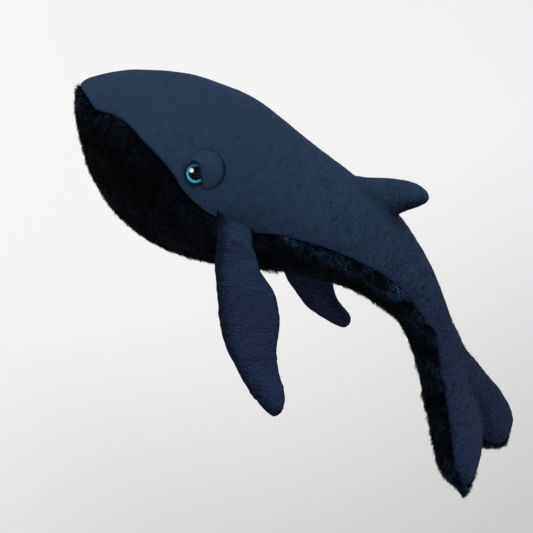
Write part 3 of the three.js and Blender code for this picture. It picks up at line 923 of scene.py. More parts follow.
def voxel_skin(piece: Piece, voxel: float) -> None:
    """Turns a piece's overlapping forms into one closed skin.

    Args:
        piece: The mesh object.
        voxel: The size of the grid that finds the skin.
    """
    remesh = piece.modifiers.new("fuse", "REMESH")
    remesh.mode = "VOXEL"
    remesh.voxel_size = voxel
    remesh.use_smooth_shade = True
    settle(piece)


def thicken(piece: Piece, thickness: float) -> None:
    """Gives a skin its thickness, inward.

    Args:
        piece: The mesh object.
        thickness: The thickness.
    """
    wall = piece.modifiers.new("wall", "SOLIDIFY")
    wall.thickness = thickness
    wall.offset = -1.0
    settle(piece)
    piece.data.set_sharp_from_angle(angle=math.radians(WALL_SHARP_DEGREES))


def loft_faces(rings: int, sides: int) -> list[tuple[int, ...]]:
    """Faces of a form whose rings are closed by a first and a last point.

    Args:
        rings: How many rings there are.
        sides: How many points each has.

    Returns:
        Each face's point numbers.
    """
    last = 1 + rings * sides
    faces: list[tuple[int, ...]] = []
    for side in range(sides):
        after = (side + 1) % sides
        faces.append((0, 1 + after, 1 + side))
        end = 1 + (rings - 1) * sides
        faces.append((end + side, end + after, last))
        for ring in range(rings - 1):
            low, high = 1 + ring * sides, 1 + (ring + 1) * sides
            faces.append((low + side, low + after, high + after, high + side))
    return faces


def relax(piece: Piece, rounds: int, ease: float = 0.5, swell: float = -0.53) -> None:
    """Smooths a mesh without shrinking it.

    Args:
        piece: The mesh object.
        rounds: How often each vertex moves to and fro.
        ease: The share of the way to the neighbours' middle.
        swell: The share of the way back.
    """
    count = len(piece.data.vertices)
    edges = np.empty(len(piece.data.edges) * 2, np.int32)
    piece.data.edges.foreach_get("vertices", edges)
    first, second = edges.reshape(-1, 2).T
    degree = np.bincount(np.concatenate((first, second)), minlength=count)[:, None]
    points = places_of(piece)
    for _ in range(rounds):
        for share in (ease, swell):
            total = np.empty_like(points)
            for axis in range(3):
                total[:, axis] = np.bincount(first, points[second, axis], count)
                total[:, axis] += np.bincount(second, points[first, axis], count)
            points = points + share * (total / degree - points)
    move_to(piece, points)


@dataclass(frozen=True)
class Place:
    """A place on the skin, with the direction straight out of it."""

    point: Vector
    outward: Vector

    def frame(self) -> tuple[Vector, Vector]:
        """Two directions along the skin: backward, and upward."""
        back = Vector((1, 0, 0))
        back = (back - self.outward * back.dot(self.outward)).normalized()
        upward = back.cross(self.outward).normalized()
        return back, upward if upward.z > 0 else -upward


@dataclass
class WhaleForm:
    """The whale's shape, from its driving sizes."""

    length: float
    crown_height: float = 174 * MM
    head_width: float = 154 * MM
    fluke_span: float = 174 * MM
    fluke_thickness: float = 38 * MM
    fluke_skews: tuple = (-2.0 * MM, 8.0 * MM)
    dorsal_rise: float = 37 * MM
    dorsal_chord: float = 74 * MM
    dorsal_thickness: float = 25 * MM
    rest_flat: float = 0.5 * MM
    axis_x: Array = field(init=False)
    axis_z: Array = field(init=False)
    axis_run: Array = field(init=False)

    def __post_init__(self) -> None:
        """Works out the line through the middle of the body and the flukes."""
        body = [row for row in BODY_SECTION_SHARES if row[0] < FLUKE_SECTION_SHARES[1][0]]
        fluke = FLUKE_SECTION_SHARES[1:]
        shares = [0.0] + [row[0] for row in body] + [row[0] for row in fluke] + [1.0]
        heights = [SNOUT_SHARES[1]] + [(row[1] + row[2]) / 2 for row in body]
        heights += [row[3] for row in fluke] + [FLUKE_TIP_SHARES[2]]
        even = np.linspace(0, 1, 201)
        z_shares = through(shares, [[h] for h in heights], even)[:, 0]
        window = np.hanning(17) / np.hanning(17).sum()
        z_shares = np.convolve(np.pad(z_shares, 8, "edge"), window, "valid")
        self.axis_x = self.x_at(even)
        self.axis_z = self.height_at(z_shares)
        steps = np.hypot(np.diff(self.axis_x), np.diff(self.axis_z))
        self.axis_run = np.concatenate(([0.0], np.cumsum(steps)))

    def x_at(self, share: Reals) -> Reals:
        """The place along the body of a share of its length."""
        return (share - 0.5) * self.length

    def share_of(self, points: Array) -> Array:
        """How far back points lie, as shares of the body's length."""
        return points[:, 0] / self.length + 0.5

    def height_at(self, share: Reals) -> Reals:
        """The height of a share of the crown's."""
        return share * self.crown_height - self.rest_flat

    def section(self, x: Array) -> tuple[Array, Array, Array]:
        """The body's middle height, half width and half height at places along it.

        Args:
            x: The places.

        Returns:
            The three sizes, each with a value for each place.
        """
        rows = [[self.height_at(SNOUT_SHARES[1]), 0.0, 0.0]]
        knots = [self.x_at(SNOUT_SHARES[0])]
        for share, top, bottom, width in BODY_SECTION_SHARES:
            knots.append(self.x_at(share))
            half_height = (top - bottom) / 2 * self.crown_height
            half_width = width * self.head_width / 2
            rows.append([self.height_at((top + bottom) / 2), half_width**2, half_height**2])
        knots.append(self.x_at(TAIL_ROOT_END_SHARES[0]))
        rows.append([self.height_at(TAIL_ROOT_END_SHARES[1]), 0.0, 0.0])
        middle, width, height = through(knots, rows, np.atleast_1d(x)).T
        return middle, root(width), root(height)

    def seam_height(self, x: Array) -> Array:
        """The height of the seam between cloth and fur at places along the body."""
        knots = [self.x_at(row[0]) for row in SEAM_SHARES]
        return through(knots, [[self.height_at(row[1])] for row in SEAM_SHARES], x)[:, 0]

    def along(self, points: Array) -> Array:
        """Each point's run along the body, its y and its height square to the body's line.

        Args:
            points: The points, one row each.

        Returns:
            One row for each point.
        """
        z = np.interp(points[:, 0], self.axis_x, self.axis_z)
        slope = np.interp(points[:, 0], self.axis_x, np.gradient(self.axis_z, self.axis_x))
        turn = np.arctan(slope)
        run = np.interp(points[:, 0], self.axis_x, self.axis_run)
        rise = points[:, 2] - z
        return columns(run + rise * np.sin(turn), points[:, 1], rise * np.cos(turn))

    def head_place(self, share: float, degrees: float, side: Side) -> Place:
        """A place on the head's side, at an angle above its widest line.

        Args:
            share: The share of the body's length.
            degrees: The angle.
            side: The side.

        Returns:
            The place.
        """
        angle, step = math.radians(degrees), 0.01

        def skin(at: float, turn: float) -> Vector:
            """A point of the head's skin."""
            middle, width, height = (float(v[0]) for v in self.section(np.array([self.x_at(at)])))
            y = side.value * width * math.cos(turn)
            return Vector((self.x_at(at), y, middle + height * math.sin(turn)))

        run = skin(share + step, angle) - skin(share - step, angle)
        rise = skin(share, angle + step) - skin(share, angle - step)
        outward = run.cross(rise).normalized()
        if outward.y * side.value < 0:
            outward.negate()
        return Place(skin(share, angle), outward)

    def tail_hinge(self) -> tuple[Vector, Vector]:
        """The tail's hinge and the direction of the tail behind it."""
        x = self.x_at(HINGE_SHARE)
        z = float(np.interp(x, self.axis_x, self.axis_z))
        slope = float(np.interp(x, self.axis_x, np.gradient(self.axis_z, self.axis_x)))
        return Vector((x, 0, z)), Vector((1, 0, slope)).normalized()

    def tubes(self) -> list[Tube]:
        """The forms that the skin joins, each as rings with a first and a last point."""
        return [self._body_tube(), self._fluke_tube(-1), self._fluke_tube(1), self._dorsal_tube()]

    @staticmethod
    def _rings(middle: Array, across: Array, up: Array, sides: int = 96) -> Array:
        """Rings of points round middles, along two half axes each."""
        turn = np.linspace(0, 2 * math.pi, sides, endpoint=False)
        cosine, sine = np.cos(turn)[None, :, None], np.sin(turn)[None, :, None]
        return middle[:, None] + across[:, None] * cosine + up[:, None] * sine

    def _body_tube(self) -> Tube:
        """The body from the snout to the end of the tail root."""
        turn = np.linspace(0, math.pi, 302)[1:-1]
        start, end = self.x_at(SNOUT_SHARES[0]), self.x_at(TAIL_ROOT_END_SHARES[0])
        x = start + (end - start) * (1 - np.cos(turn)) / 2
        middle, width, height = self.section(x)
        rings = self._rings(columns(x, 0, middle), columns(0, width, 0), columns(0, 0, height))
        first = Vector((start, 0, self.height_at(SNOUT_SHARES[1])))
        return rings, first, Vector((end, 0, self.height_at(TAIL_ROOT_END_SHARES[1])))

    def _fluke_tube(self, side: int) -> Tube:
        """One fluke, from inside the tail to its tip.

        Args:
            side: -1 for the left one and 1 for the right one.

        Returns:
            Its rings, and its first and last point.
        """
        half_span, half_thickness = self.fluke_span / 2, self.fluke_thickness / 2
        start_x, start_y, start_z = FLUKE_START_SHARES
        tip_x, tip_y, tip_z = FLUKE_TIP_SHARES
        knots = [start_x] + [row[0] for row in FLUKE_SECTION_SHARES] + [tip_x]
        rows = [[start_y * half_span, 0.0, self.height_at(start_z), 0.0]]
        for _, centre, width, height, thickness in FLUKE_SECTION_SHARES:
            half = [(width * half_span) ** 2, (thickness * half_thickness) ** 2]
            rows.append([centre * half_span, half[0], self.height_at(height), half[1]])
        rows.append([tip_y * half_span, 0.0, self.height_at(tip_z), 0.0])
        turn = np.linspace(0, math.pi, 162)[1:-1]
        share = start_x + (tip_x - start_x) * (1 - np.cos(turn)) / 2
        y, width, z, thickness = through(knots, rows, share).T
        skew = self.fluke_skews[int(side > 0)]
        reach = ((share - start_x) / (tip_x - start_x)) ** 2
        middle = columns(self.x_at(share) + skew * reach, side * y, z)
        rings = self._rings(middle, columns(0, root(width), 0), columns(0, 0, root(thickness)))
        first = Vector((self.x_at(start_x), side * start_y * half_span, self.height_at(start_z)))
        tip = Vector((self.x_at(tip_x) + skew, side * tip_y * half_span, self.height_at(tip_z)))
        return rings, first, tip

    def _dorsal_tube(self) -> Tube:
        """The dorsal fin, from inside the back to its tip."""
        foot = self.x_at(DORSAL_FOOT_SHARE)
        knots = [row[0] for row in DORSAL_SECTION_SHARES] + [DORSAL_TIP_SHARES[0]]
        rows = []
        for _, front, rear, thickness in DORSAL_SECTION_SHARES:
            half_chord = (rear - front) / 2 * self.dorsal_chord
            half = thickness * self.dorsal_thickness / 2
            rows.append([foot + (front + rear) / 2 * self.dorsal_chord, half_chord**2, half**2])
        rows.append([foot + DORSAL_TIP_SHARES[1] * self.dorsal_chord, 0.0, 0.0])
        turn = np.linspace(0, math.pi / 2, 81)[:-1]
        share = knots[0] + (knots[-1] - knots[0]) * np.sin(turn)
        x, chord, thickness = through(knots, rows, share).T
        z = self.height_at(1) + share * self.dorsal_rise
        rings = self._rings(columns(x, 0, z), columns(root(chord), 0, 0), columns(0, root(thickness), 0))
        tip = Vector((rows[-1][0], 0, self.height_at(1) + knots[-1] * self.dorsal_rise))
        return rings, Vector((x[0], 0, z[0])), tip


@dataclass
class Inflation:
    """A cloth simulation that stuffs a sewn form: its skin swells between the seams."""

    pressure: float = 4.0
    frames: int = 20
    cap: float = 2.5 * MM
    mass: float = 0.12
    stretch: float = 18.0
    bending: float = 1.2

    def apply(self, piece: Piece, held: Array) -> None:
        """Inflates a closed piece.

        Args:
            piece: The closed mesh.
            held: How firmly each vertex stays, from 0 to 1.
        """
        before = places_of(piece)
        group = piece.vertex_groups.new(name="held")
        for index in np.nonzero(held > 0.01)[0]:
            group.add([int(index)], float(held[index]), "REPLACE")
        cloth = piece.modifiers.new("stuffing", "CLOTH")
        settings = cloth.settings
        settings.mass = self.mass
        settings.tension_stiffness = settings.compression_stiffness = self.stretch
        settings.bending_stiffness = self.bending
        settings.use_pressure = True
        settings.uniform_pressure_force = self.pressure
        settings.vertex_group_mass = group.name
        settings.pin_stiffness = 1.0
        settings.effector_weights.gravity = 0.0
        cloth.collision_settings.use_collision = False
        cloth.point_cache.frame_start = 1
        cloth.point_cache.frame_end = self.frames
        for step in range(1, self.frames + 1):
            bpy.context.scene.frame_set(step)
        settle(piece)
        piece.vertex_groups.clear()
        bpy.context.scene.frame_set(1)
        move = places_of(piece) - before
        reach = np.linalg.norm(move, axis=1, keepdims=True)
        capped = self.cap * np.tanh(reach / self.cap)
        move_to(piece, before + move * capped / np.maximum(reach, 1e-9))


@dataclass
class Crinkles:
    """Real relief of the crinkled cloth, as a geometry tree with named sizes."""

    spacing: float = 6.5 * MM
    length: float = 15.0 * MM
    relief: float = 0.42 * MM
    floor: float = 0.6

    def apply(self, piece: Piece) -> None:
        """Presses the creases into a piece that holds cloth_place and crinkle."""
        group = bpy.data.node_groups.get("crinkle_relief") or self._tree()
        sizes = {"Spacing": self.spacing, "Crease Length": self.length, "Relief": self.relief}
        with_inputs(piece, group, sizes)
        settle(piece)

    def _tree(self) -> bpy.types.NodeTree:
        """Builds the geometry tree: cells that swell along the skin's normals, with creases between."""
        standard = {"Spacing": 0.005, "Crease Length": 0.01, "Relief": 0.0}
        group, start = new_group("crinkle_relief", standard)
        tree = start.tree
        parts = tree.parts(tree.kept("cloth_place", "FLOAT_VECTOR"), "X")
        sizes = {"X": "Spacing", "Y": "Crease Length", "Z": "Crease Length"}
        scaled = tree.joined(*(parts.out(axis) / start.out(size) for axis, size in sizes.items()))
        wander = tree.node("ShaderNodeTexNoise", None, {"Vector": scaled, "Scale": 0.7}, "Color")
        cells = tree.cells(tree.plus(scaled, tree.by(wander, 1.4)))
        swell = cells.rising(0.0, 0.4) - self.floor
        amount = swell * tree.kept("crinkle") * start.out("Relief")
        offset = tree.by(tree.node("GeometryNodeInputNormal"), amount)
        tree.node("NodeGroupOutput", None, {0: tree.move(start, "Offset", offset)})
        return group


def new_group(name: str, sizes: dict) -> tuple[bpy.types.NodeTree, Value]:
    """Starts a geometry tree.

    Args:
        name: The tree's name.
        sizes: Its named inputs with their standard values, or MATERIAL for a material.

    Returns:
        The tree, and its wrapped geometry input.
    """
    group = bpy.data.node_groups.new(name, "GeometryNodeTree")
    group.interface.new_socket("Geometry", in_out="OUTPUT", socket_type="NodeSocketGeometry")
    group.interface.new_socket("Geometry", in_out="INPUT", socket_type="NodeSocketGeometry")
    kinds = {float: "NodeSocketFloat", int: "NodeSocketInt", str: "NodeSocketMaterial"}
    for title, value in sizes.items():
        made = group.interface.new_socket(title, in_out="INPUT", socket_type=kinds[type(value)])
        if not isinstance(value, str):
            made.default_value = value
    tree = Tree(group)
    return group, tree.node("NodeGroupInput", None, None, "Geometry")


def with_inputs(piece: Piece, group: bpy.types.NodeTree, sizes: dict) -> None:
    """Adds a geometry tree to a piece and sets its inputs by their sockets' identifiers.

    Args:
        piece: The mesh object.
        group: The tree.
        sizes: A value for each named input.
    """
    modifier = piece.modifiers.new(group.name, "NODES")
    modifier.node_group = group
    named = {item.name: item.identifier for item in group.interface.items_tree if item.in_out == "INPUT"}
    for title, value in sizes.items():
        modifier[named[title]] = value


@dataclass
class FurPile:
    """Short pile that stands on a fur skin, as a geometry tree with named sizes."""

    strands: int = 48000
    length: float = 3.5 * MM
    width: float = 0.42 * MM
    seed: int = 7
    taper: tuple = (1.5, 0.82)
    stray: float = 0.22
    lengths: tuple = (0.7, 1.12)
    lowest: float = 0.2 * MM

    def grow(self, name: str, skin: Piece) -> Piece:
        """Grows strands on a skin that holds comb, bend and pile.

        Args:
            name: The pile's name.
            skin: The fur skin's outer surface.

        Returns:
            The pile as its own piece.
        """
        area = sum(face.area for face in skin.data.polygons)
        pile = linked(name, skin.data.copy())
        group = bpy.data.node_groups.get("fur_pile") or self._tree()
        sizes = {
            "Density": self.strands / area,
            "Length": self.length,
            "Width": self.width,
            "Seed": self.seed,
            "Material": FurStrands().material(),
        }
        with_inputs(pile, group, sizes)
        settle(pile)
        for left_over in ("comb", "bend", "pile", "form_normal", "cloth_place", "rim", "shade"):
            if left_over in pile.data.attributes:
                pile.data.attributes.remove(pile.data.attributes[left_over])
        return pile

    def _tree(self) -> bpy.types.NodeTree:
        """Builds the geometry tree: points on the skin, a tapered blade on each, then the bend."""
        standard = {"Density": 1000.0, "Length": 0.004, "Width": 0.0004, "Seed": 1, "Material": "MATERIAL"}
        group, start = new_group("fur_pile", standard)
        tree, seed = start.tree, start.out("Seed")
        blade = tree.node("GeometryNodeMeshGrid", None, {0: 1.0, 1: 1.0, 2: 2, 3: 3})
        parts = tree.parts(tree.node("GeometryNodeInputPosition"), "X")
        along = parts.out("Y") + 0.5
        narrower = 1 - along ** self.taper[0] * self.taper[1]
        blade = tree.keep(blade, "POINT", "along", along)
        blade = tree.move(blade, "Position", tree.joined(parts * narrower, 0.0, along))
        inputs = {"Mesh": start, "Density": start.out("Density"), "Seed": seed}
        points = tree.node("GeometryNodeDistributePointsOnFaces", None, inputs, "Points")
        inputs = {0: (-self.stray,) * 3, 1: (self.stray,) * 3, "Seed": seed + 3}
        stray = tree.node("FunctionNodeRandomValue", {"data_type": "FLOAT_VECTOR"}, inputs)
        lean = tree.plus(tree.kept("comb", "FLOAT_VECTOR"), stray)
        aligned = tree.node("FunctionNodeAlignRotationToVector", {"axis": "Z"}, {"Vector": lean})
        inputs = {"Axis": (0, 0, 1), "Angle": tree.random(0.0, 2 * math.pi, seed + 5)}
        spin = tree.node("FunctionNodeAxisAngleToRotation", None, inputs)
        spun = tree.node("FunctionNodeRotateRotation", {"rotation_space": "LOCAL"}, {0: aligned, 1: spin})
        tall = start.out("Length") * tree.kept("pile") * tree.random(*self.lengths, seed + 7)
        scale = tree.joined(start.out("Width"), 1.0, tall)
        inputs = {"Points": points, "Instance": blade, "Rotation": spun, "Scale": scale}
        strands = tree.node("GeometryNodeInstanceOnPoints", None, inputs)
        strands = tree.keep(strands, "INSTANCE", "tone", tree.random(0.0, 1.0, seed + 9))
        real = tree.node("GeometryNodeRealizeInstances", None, {"Geometry": strands})
        reach = tree.kept("along")
        real = tree.move(real, "Offset", tree.by(tree.kept("bend", "FLOAT_VECTOR"), reach * reach))
        where = tree.parts(tree.node("GeometryNodeInputPosition"), "X")
        raised = tree.node("ShaderNodeMath", {"operation": "MAXIMUM"}, {0: where.out("Z"), 1: self.lowest})
        real = tree.move(real, "Position", tree.joined(where, where.out("Y"), raised))
        real = tree.node("GeometryNodeSetShadeSmooth", None, {"Geometry": real})
        inputs = {"Geometry": real, "Material": start.out("Material")}
        tree.node("NodeGroupOutput", None, {0: tree.node("GeometryNodeSetMaterial", None, inputs)})
        return group


@dataclass
class BodySkin:
    """The body's sewn skin: one stuffed form, cut along its seams into cloth and fur panels."""

    form: WhaleForm
    voxel: float = 2.7 * MM
    lump_height: float = 0.7 * MM
    lump_size: float = 38 * MM
    seam_dip: float = 1.3 * MM
    seam_dip_reach: float = 9 * MM
    seam_slot: float = 1.9 * MM
    seam_slot_reach: float = 1.5 * MM
    back_slot: float = 0.3 * MM
    back_slot_reach: float = 0.7 * MM
    pile_depth_shares: tuple = (0.0, 0.1, 0.32, 0.45, 1.0)
    pile_depths: tuple = (0.6 * MM, 0.5 * MM, 0.3 * MM, 1.8 * MM, 1.8 * MM)
    pucker: float = 0.5 * MM
    pucker_spacing: float = 4.5 * MM
    cloth_thickness: float = 0.9 * MM
    blend_reach: float = 34 * MM
    stuffing_inset: float = 4.2 * MM
    stuffing_lump: float = 0.8 * MM
    crinkle_shares: tuple = (0.0, 0.15, 0.3, 0.45, 0.6, 0.7, 0.8, 0.9, 1.0)
    crinkles: tuple = (0.3, 0.3, 0.42, 0.55, 0.62, 0.8, 1.0, 0.9, 0.8)
    # Painted sheen along the belly, by share of the body's length.
    glow_shares: tuple = (0.0, 0.07, 0.12, 0.3, 0.4, 0.44, 0.5, 0.58, 0.68, 0.73, 0.8, 0.95, 1.0)
    sheen_levels: tuple = (0.4, 0.35, 0.1, 0.12, 0.6, 0.9, 0.85, 1.0, 1.0, 0.7, 0.6, 0.45, 0.15)

    def build(self) -> BVHTree:
        """Builds the body's panels, pile and stuffing.

        Returns:
            The stuffed form's surface, on which the lids are set.
        """
        fused = self._fuse()
        surface = BVHTree.FromObject(fused, bpy.context.evaluated_depsgraph_get())
        self._stuff(fused)
        panels = self._cut(fused)
        for name, nodes in {
            "left_back_panel": ["back_cloth_left", "tail_cloth_left"],
            "right_back_panel": ["back_cloth_right", "tail_cloth_right"],
        }.items():
            self._sew(panels[name], Edge.CLOTH)
            self._finish_cloth(panels[name], nodes)
        self._sew(panels["throat_panel"], Edge.FUR)
        self._finish_fur(panels["throat_panel"], ["throat_fur"], 48000, False)
        self._sew(panels["belly_panel"], Edge.FUR)
        self._finish_fur(panels["belly_panel"], ["belly_fur", "tail_fur"], 49000, True)
        bpy.data.objects.remove(fused)
        return surface

    def _fuse(self) -> Piece:
        """Joins the body, the flukes and the dorsal fin into one smooth stuffed form."""
        points, faces, base = [], [], 0
        for rings, first, last in self.form.tubes():
            count, sides = rings.shape[:2]
            points.append(np.vstack((np.array(first)[None], rings.reshape(-1, 3), np.array(last)[None])))
            faces += [tuple(base + i for i in face) for face in loft_faces(count, sides)]
            base += count * sides + 2
        fused = object_from("stuffed_form", np.vstack(points), faces)
        turn_outward(fused)
        voxel_skin(fused, self.voxel)
        relax(fused, 12)
        points = places_of(fused)
        normals = normals_of(fused)
        rise = self.lump_height * lumps(points, self.lump_size, 3)
        rise += self.lump_height / 3 * lumps(points, self.lump_size / 3, 5)
        points = points + normals * rise[:, None]
        points[:, 2] = np.maximum(points[:, 2], 0.0)
        move_to(fused, points)
        near = bell(self._long_seam(points, normals), 3 * self.voxel)
        tip = self.form.x_at(1.0) - points[:, 0] < 2 * self.seam_dip_reach
        Inflation().apply(fused, np.maximum(near, tip.astype(float)))
        relax(fused, 2)
        store(fused, "form_normal", normals_of(fused))
        LOG.info("stuffed form: %d vertices", len(fused.data.vertices))
        return fused

    def _long_seam(self, points: Array, normals: Array) -> Array:
        """The way along the skin to the seam between cloth and fur.

        Args:
            points: The places as rows.
            normals: The skin's direction at each.

        Returns:
            The way for each.
        """
        x = points[:, 0]
        height = points[:, 2] - self.form.seam_height(x)
        slope = (self.form.seam_height(x + MM) - self.form.seam_height(x - MM)) / (2 * MM)
        steep = columns(-slope, 0, 1)
        return np.abs(height) / self._along_skin(steep, normals)

    def _back_seam(self, points: Array, normals: Array) -> Array:
        """The way along the skin to the seam along the middle of the back."""
        return np.abs(points[:, 1]) / self._along_skin((0.0, 1.0, 0.0), normals)

    @staticmethod
    def _along_skin(steep: "Array | tuple", normals: Array) -> Array:
        """How fast a field rises along the skin."""
        return np.maximum(np.linalg.norm(flattened(steep, normals), axis=1), 0.3)

    def _stuff(self, fused: Piece) -> None:
        """Makes the fibre filling inside the skin."""
        filling = linked("body_stuffing", fused.data.copy())
        points = places_of(filling)
        inset = self.stuffing_inset + self.stuffing_lump * lumps(points, 9 * MM, 11)
        move_to(filling, points - normals_of(filling) * inset[:, None])
        voxel_skin(filling, 2 * self.voxel)
        filling.data.materials.append(Stuffing().material())
        nodes = ["trunk_filling", "dorsal_fin_filling", "tail_filling"]
        nodes += ["left_fluke_filling", "right_fluke_filling"]
        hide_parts(*nodes)
        self._bend_with_tail(filling)
        tell(filling)

    def _bend_with_tail(self, piece: Piece) -> None:
        """Bakes a piece's place into its mesh; the tail's hinge is found but not used."""
        hinge, run = self.form.tail_hinge()
        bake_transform(piece)

    def _cut(self, fused: Piece) -> dict[str, Piece]:
        """Cuts the form into its panels along the seams.

        Args:
            fused: The stuffed form.

        Returns:
            The panels, by their names.
        """
        work = bmesh.new()
        work.from_mesh(fused.data)
        form, throat_end = self.form, self.form.x_at(THROAT_END_SHARE)

        def above(points: Array) -> Array:
            """How far points lie above the seam between cloth and fur."""
            return points[:, 2] - form.seam_height(points[:, 0])

        def beyond(points: Array) -> Array:
            """How far points lie behind the throat's end."""
            return points[:, 0] - throat_end

        def sideways(points: Array) -> Array:
            """How far points lie to the right of the middle."""
            return points[:, 1]

        self._split(work, above, lambda points: np.ones(len(points), bool))
        self._split(work, sideways, lambda points: above(points) > 0)
        self._split(work, beyond, lambda points: above(points) < 0)
        centres = np.array([face.calc_center_median() for face in work.faces])
        high, back, right = above(centres) > 0, beyond(centres) > 0, centres[:, 1] > 0
        chosen = {
            "left_back_panel": high & ~right,
            "right_back_panel": high & right,
            "throat_panel": ~high & ~back,
            "belly_panel": ~high & back,
        }
        layer = work.verts.layers.float_vector["form_normal"]
        places = np.array([vert.co for vert in work.verts])
        normals = np.array([vert[layer] for vert in work.verts])
        faces = [[vert.index for vert in face.verts] for face in work.faces]
        panels = {}
        for name, mask in chosen.items():
            kept = [face for face, keep in zip(faces, mask) if keep]
            used = np.unique(np.concatenate(kept))
            renumber = np.full(len(places), -1)
            renumber[used] = np.arange(len(used))
            panels[name] = object_from(name, places[used], [renumber[face] for face in kept])
            store(panels[name], "form_normal", normals[used])
        work.free()
        return panels

    @staticmethod
    def _split(
        work: bmesh.types.BMesh,
        rise: Callable[[Array], Array],
        within: Callable[[Array], Array],
    ) -> None:
        """Splits the faces where a field changes sign, in one part of the mesh.

        Args:
            work: The mesh.
            rise: The field at points.
            within: Which points lie in the part that is split.
        """
        work.verts.ensure_lookup_table()
        points = np.array([vert.co for vert in work.verts])
        level = rise(points)
        step = 0.05 * MM
        sides = [(rise(points + step * axis), rise(points - step * axis)) for axis in np.eye(3)]
        slope = columns(*((after - before) / (2 * step) for after, before in sides))
        normals = np.array([vert.normal for vert in work.verts])
        slope = flattened(slope, normals)
        steep = np.maximum(np.sum(slope * slope, axis=1), 0.05)
        near = np.abs(level) / np.sqrt(steep) < 0.6 * MM
        near &= within(points + (slope / np.sqrt(steep)[:, None]) * MM) | within(points)
        moved = points - slope * (level / steep)[:, None]
        on_line = set()
        for index in np.nonzero(near)[0]:
            work.verts[index].co = Vector(moved[index])
            on_line.add(work.verts[index])
            level[index] = 0.0
        inside = within(points)
        crossing = []
        for edge in work.edges:
            first, second = edge.verts
            a, b = level[first.index], level[second.index]
            if a * b < 0 and (inside[first.index] or inside[second.index]):
                crossing.append((edge, first, a / (a - b)))
        for edge, first, share in crossing:
            on_line.add(bmesh.utils.edge_split(edge, first, share)[1])
        for face in list(work.faces):
            marked = [vert for vert in face.verts if vert in on_line]
            if len(marked) < 2 or len(face.verts) < 4:
                continue
            pairs = [
                (a, b)
                for i, a in enumerate(marked)
                for b in marked[i + 1 :]
                if not any(b in edge.verts for edge in a.link_edges)
            ]
            if pairs:
                bmesh.utils.face_split(face, *pairs[0])
        work.verts.index_update()
        work.faces.index_update()
        work.normal_update()

    def _sew(self, panel: Piece, edge: Edge) -> None:
        """Refines a panel and draws it in at its seams.

        Args:
            panel: The panel.
            edge: Whether it ends at the seam as cloth or as fur.
        """
        finer = panel.modifiers.new("finer", "SUBSURF")
        finer.levels = finer.render_levels = 1
        settle(panel)
        points = places_of(panel)
        normals = unit(stored(panel, "form_normal"))
        distance = self._long_seam(points, normals)
        along = self.form.along(points)
        gathers = lumps(along * (1.0, 0.35, 0.35), self.pucker_spacing, 17)
        dip = self.seam_dip * bell(distance, self.seam_dip_reach)
        slot = self.seam_slot * fading(distance, self.seam_slot_reach)
        share = self.form.share_of(points)
        if edge is Edge.FUR:
            depth = np.interp(share, self.pile_depth_shares, self.pile_depths)
            dip = dip + depth * (1 - fading(distance, self.seam_dip_reach))
        else:
            slot = slot + self.back_slot * fading(self._back_seam(points, normals), self.back_slot_reach)
        gather = self.pucker * gathers * fading(distance, 1.5 * self.pucker_spacing)
        gather *= 1 - fading(distance, self.seam_slot_reach)
        move_to(panel, points - normals * (dip + slot - gather)[:, None])
        store(panel, "cloth_place", along)
        store(panel, "crinkle", self._crinkle(points, along) * (1 - 0.7 * fading(distance, 2 * MM)))
        # Painted highlight along the seam behind the eye, by which the material lightens the cloth.
        behind_eye = ramp(share, 0.25, 0.03) * ramp(share, 0.385, -0.02)
        store(panel, "rim", 0.45 * behind_eye * bell(distance, 1.3 * MM))
        store(panel, "shade", self._shade(points, normals, distance))

    def _shade(self, points: Array, normals: Array, distance: Array) -> Array:
        """Painted shade on the cloth: on the tail by its seam and far half, and round the dorsal fin.

        Args:
            points: The places as rows.
            normals: The skin's direction at each.
            distance: The way from each to the seam between cloth and fur.

        Returns:
            How dark the painted shade is at each, about 0 to 1.
        """
        form = self.form
        share, y = form.share_of(points), points[:, 1]
        beside_seam = 0.3 * fading(distance, 5 * MM)
        far_half = np.clip(y / (16 * MM), 0, 1) * 0.28
        valley = 0.3 * bell(y - 5 * MM, 8 * MM) * ramp(share, 0.86, 0.04)
        behind = np.clip(normals[:, 0] * 0.9 - normals[:, 2] * 0.5, 0, 1)
        behind *= ramp(points[:, 2], form.height_at(0.98), 7 * MM)
        x = form.x_at(DORSAL_FOOT_SHARE) + 0.93 * form.dorsal_chord
        foot = np.linalg.norm(points - (x, 0.0, form.height_at(1.0)), axis=1)
        tail = ramp(share, 0.82, 0.1) * (beside_seam + (far_half + valley))
        return tail + 0.95 * behind + 0.4 * bell(foot, 8 * MM)

    def _crinkle(self, points: Array, along: Array) -> Array:
        """How strongly the cloth creases: little on the head and much on the tail.

        Args:
            points: The places as rows.
            along: The same places in the body's own run, side and height.

        Returns:
            The strength at each, 0.1 to 1.
        """
        levels = [[level] for level in self.crinkles]
        base = through(self.crinkle_shares, levels, self.form.share_of(points))[:, 0]
        low_side = ramp(along[:, 2], 0.03, -0.06) * 0.18
        return np.clip(base + low_side + 0.12 * lumps(points, 25 * MM, 23), 0.1, 1.0)

    def _finish_cloth(self, panel: Piece, nodes: list[str]) -> None:
        """Gives a cloth panel its creases, its thickness and its finish.

        Args:
            panel: The panel.
            nodes: The nodes that it stands for.
        """
        Crinkles().apply(panel)
        thicken(panel, self.cloth_thickness)
        panel.data.materials.append(CrinkleCloth().material())
        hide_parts(*nodes)
        self._bend_with_tail(panel)
        tell(panel)

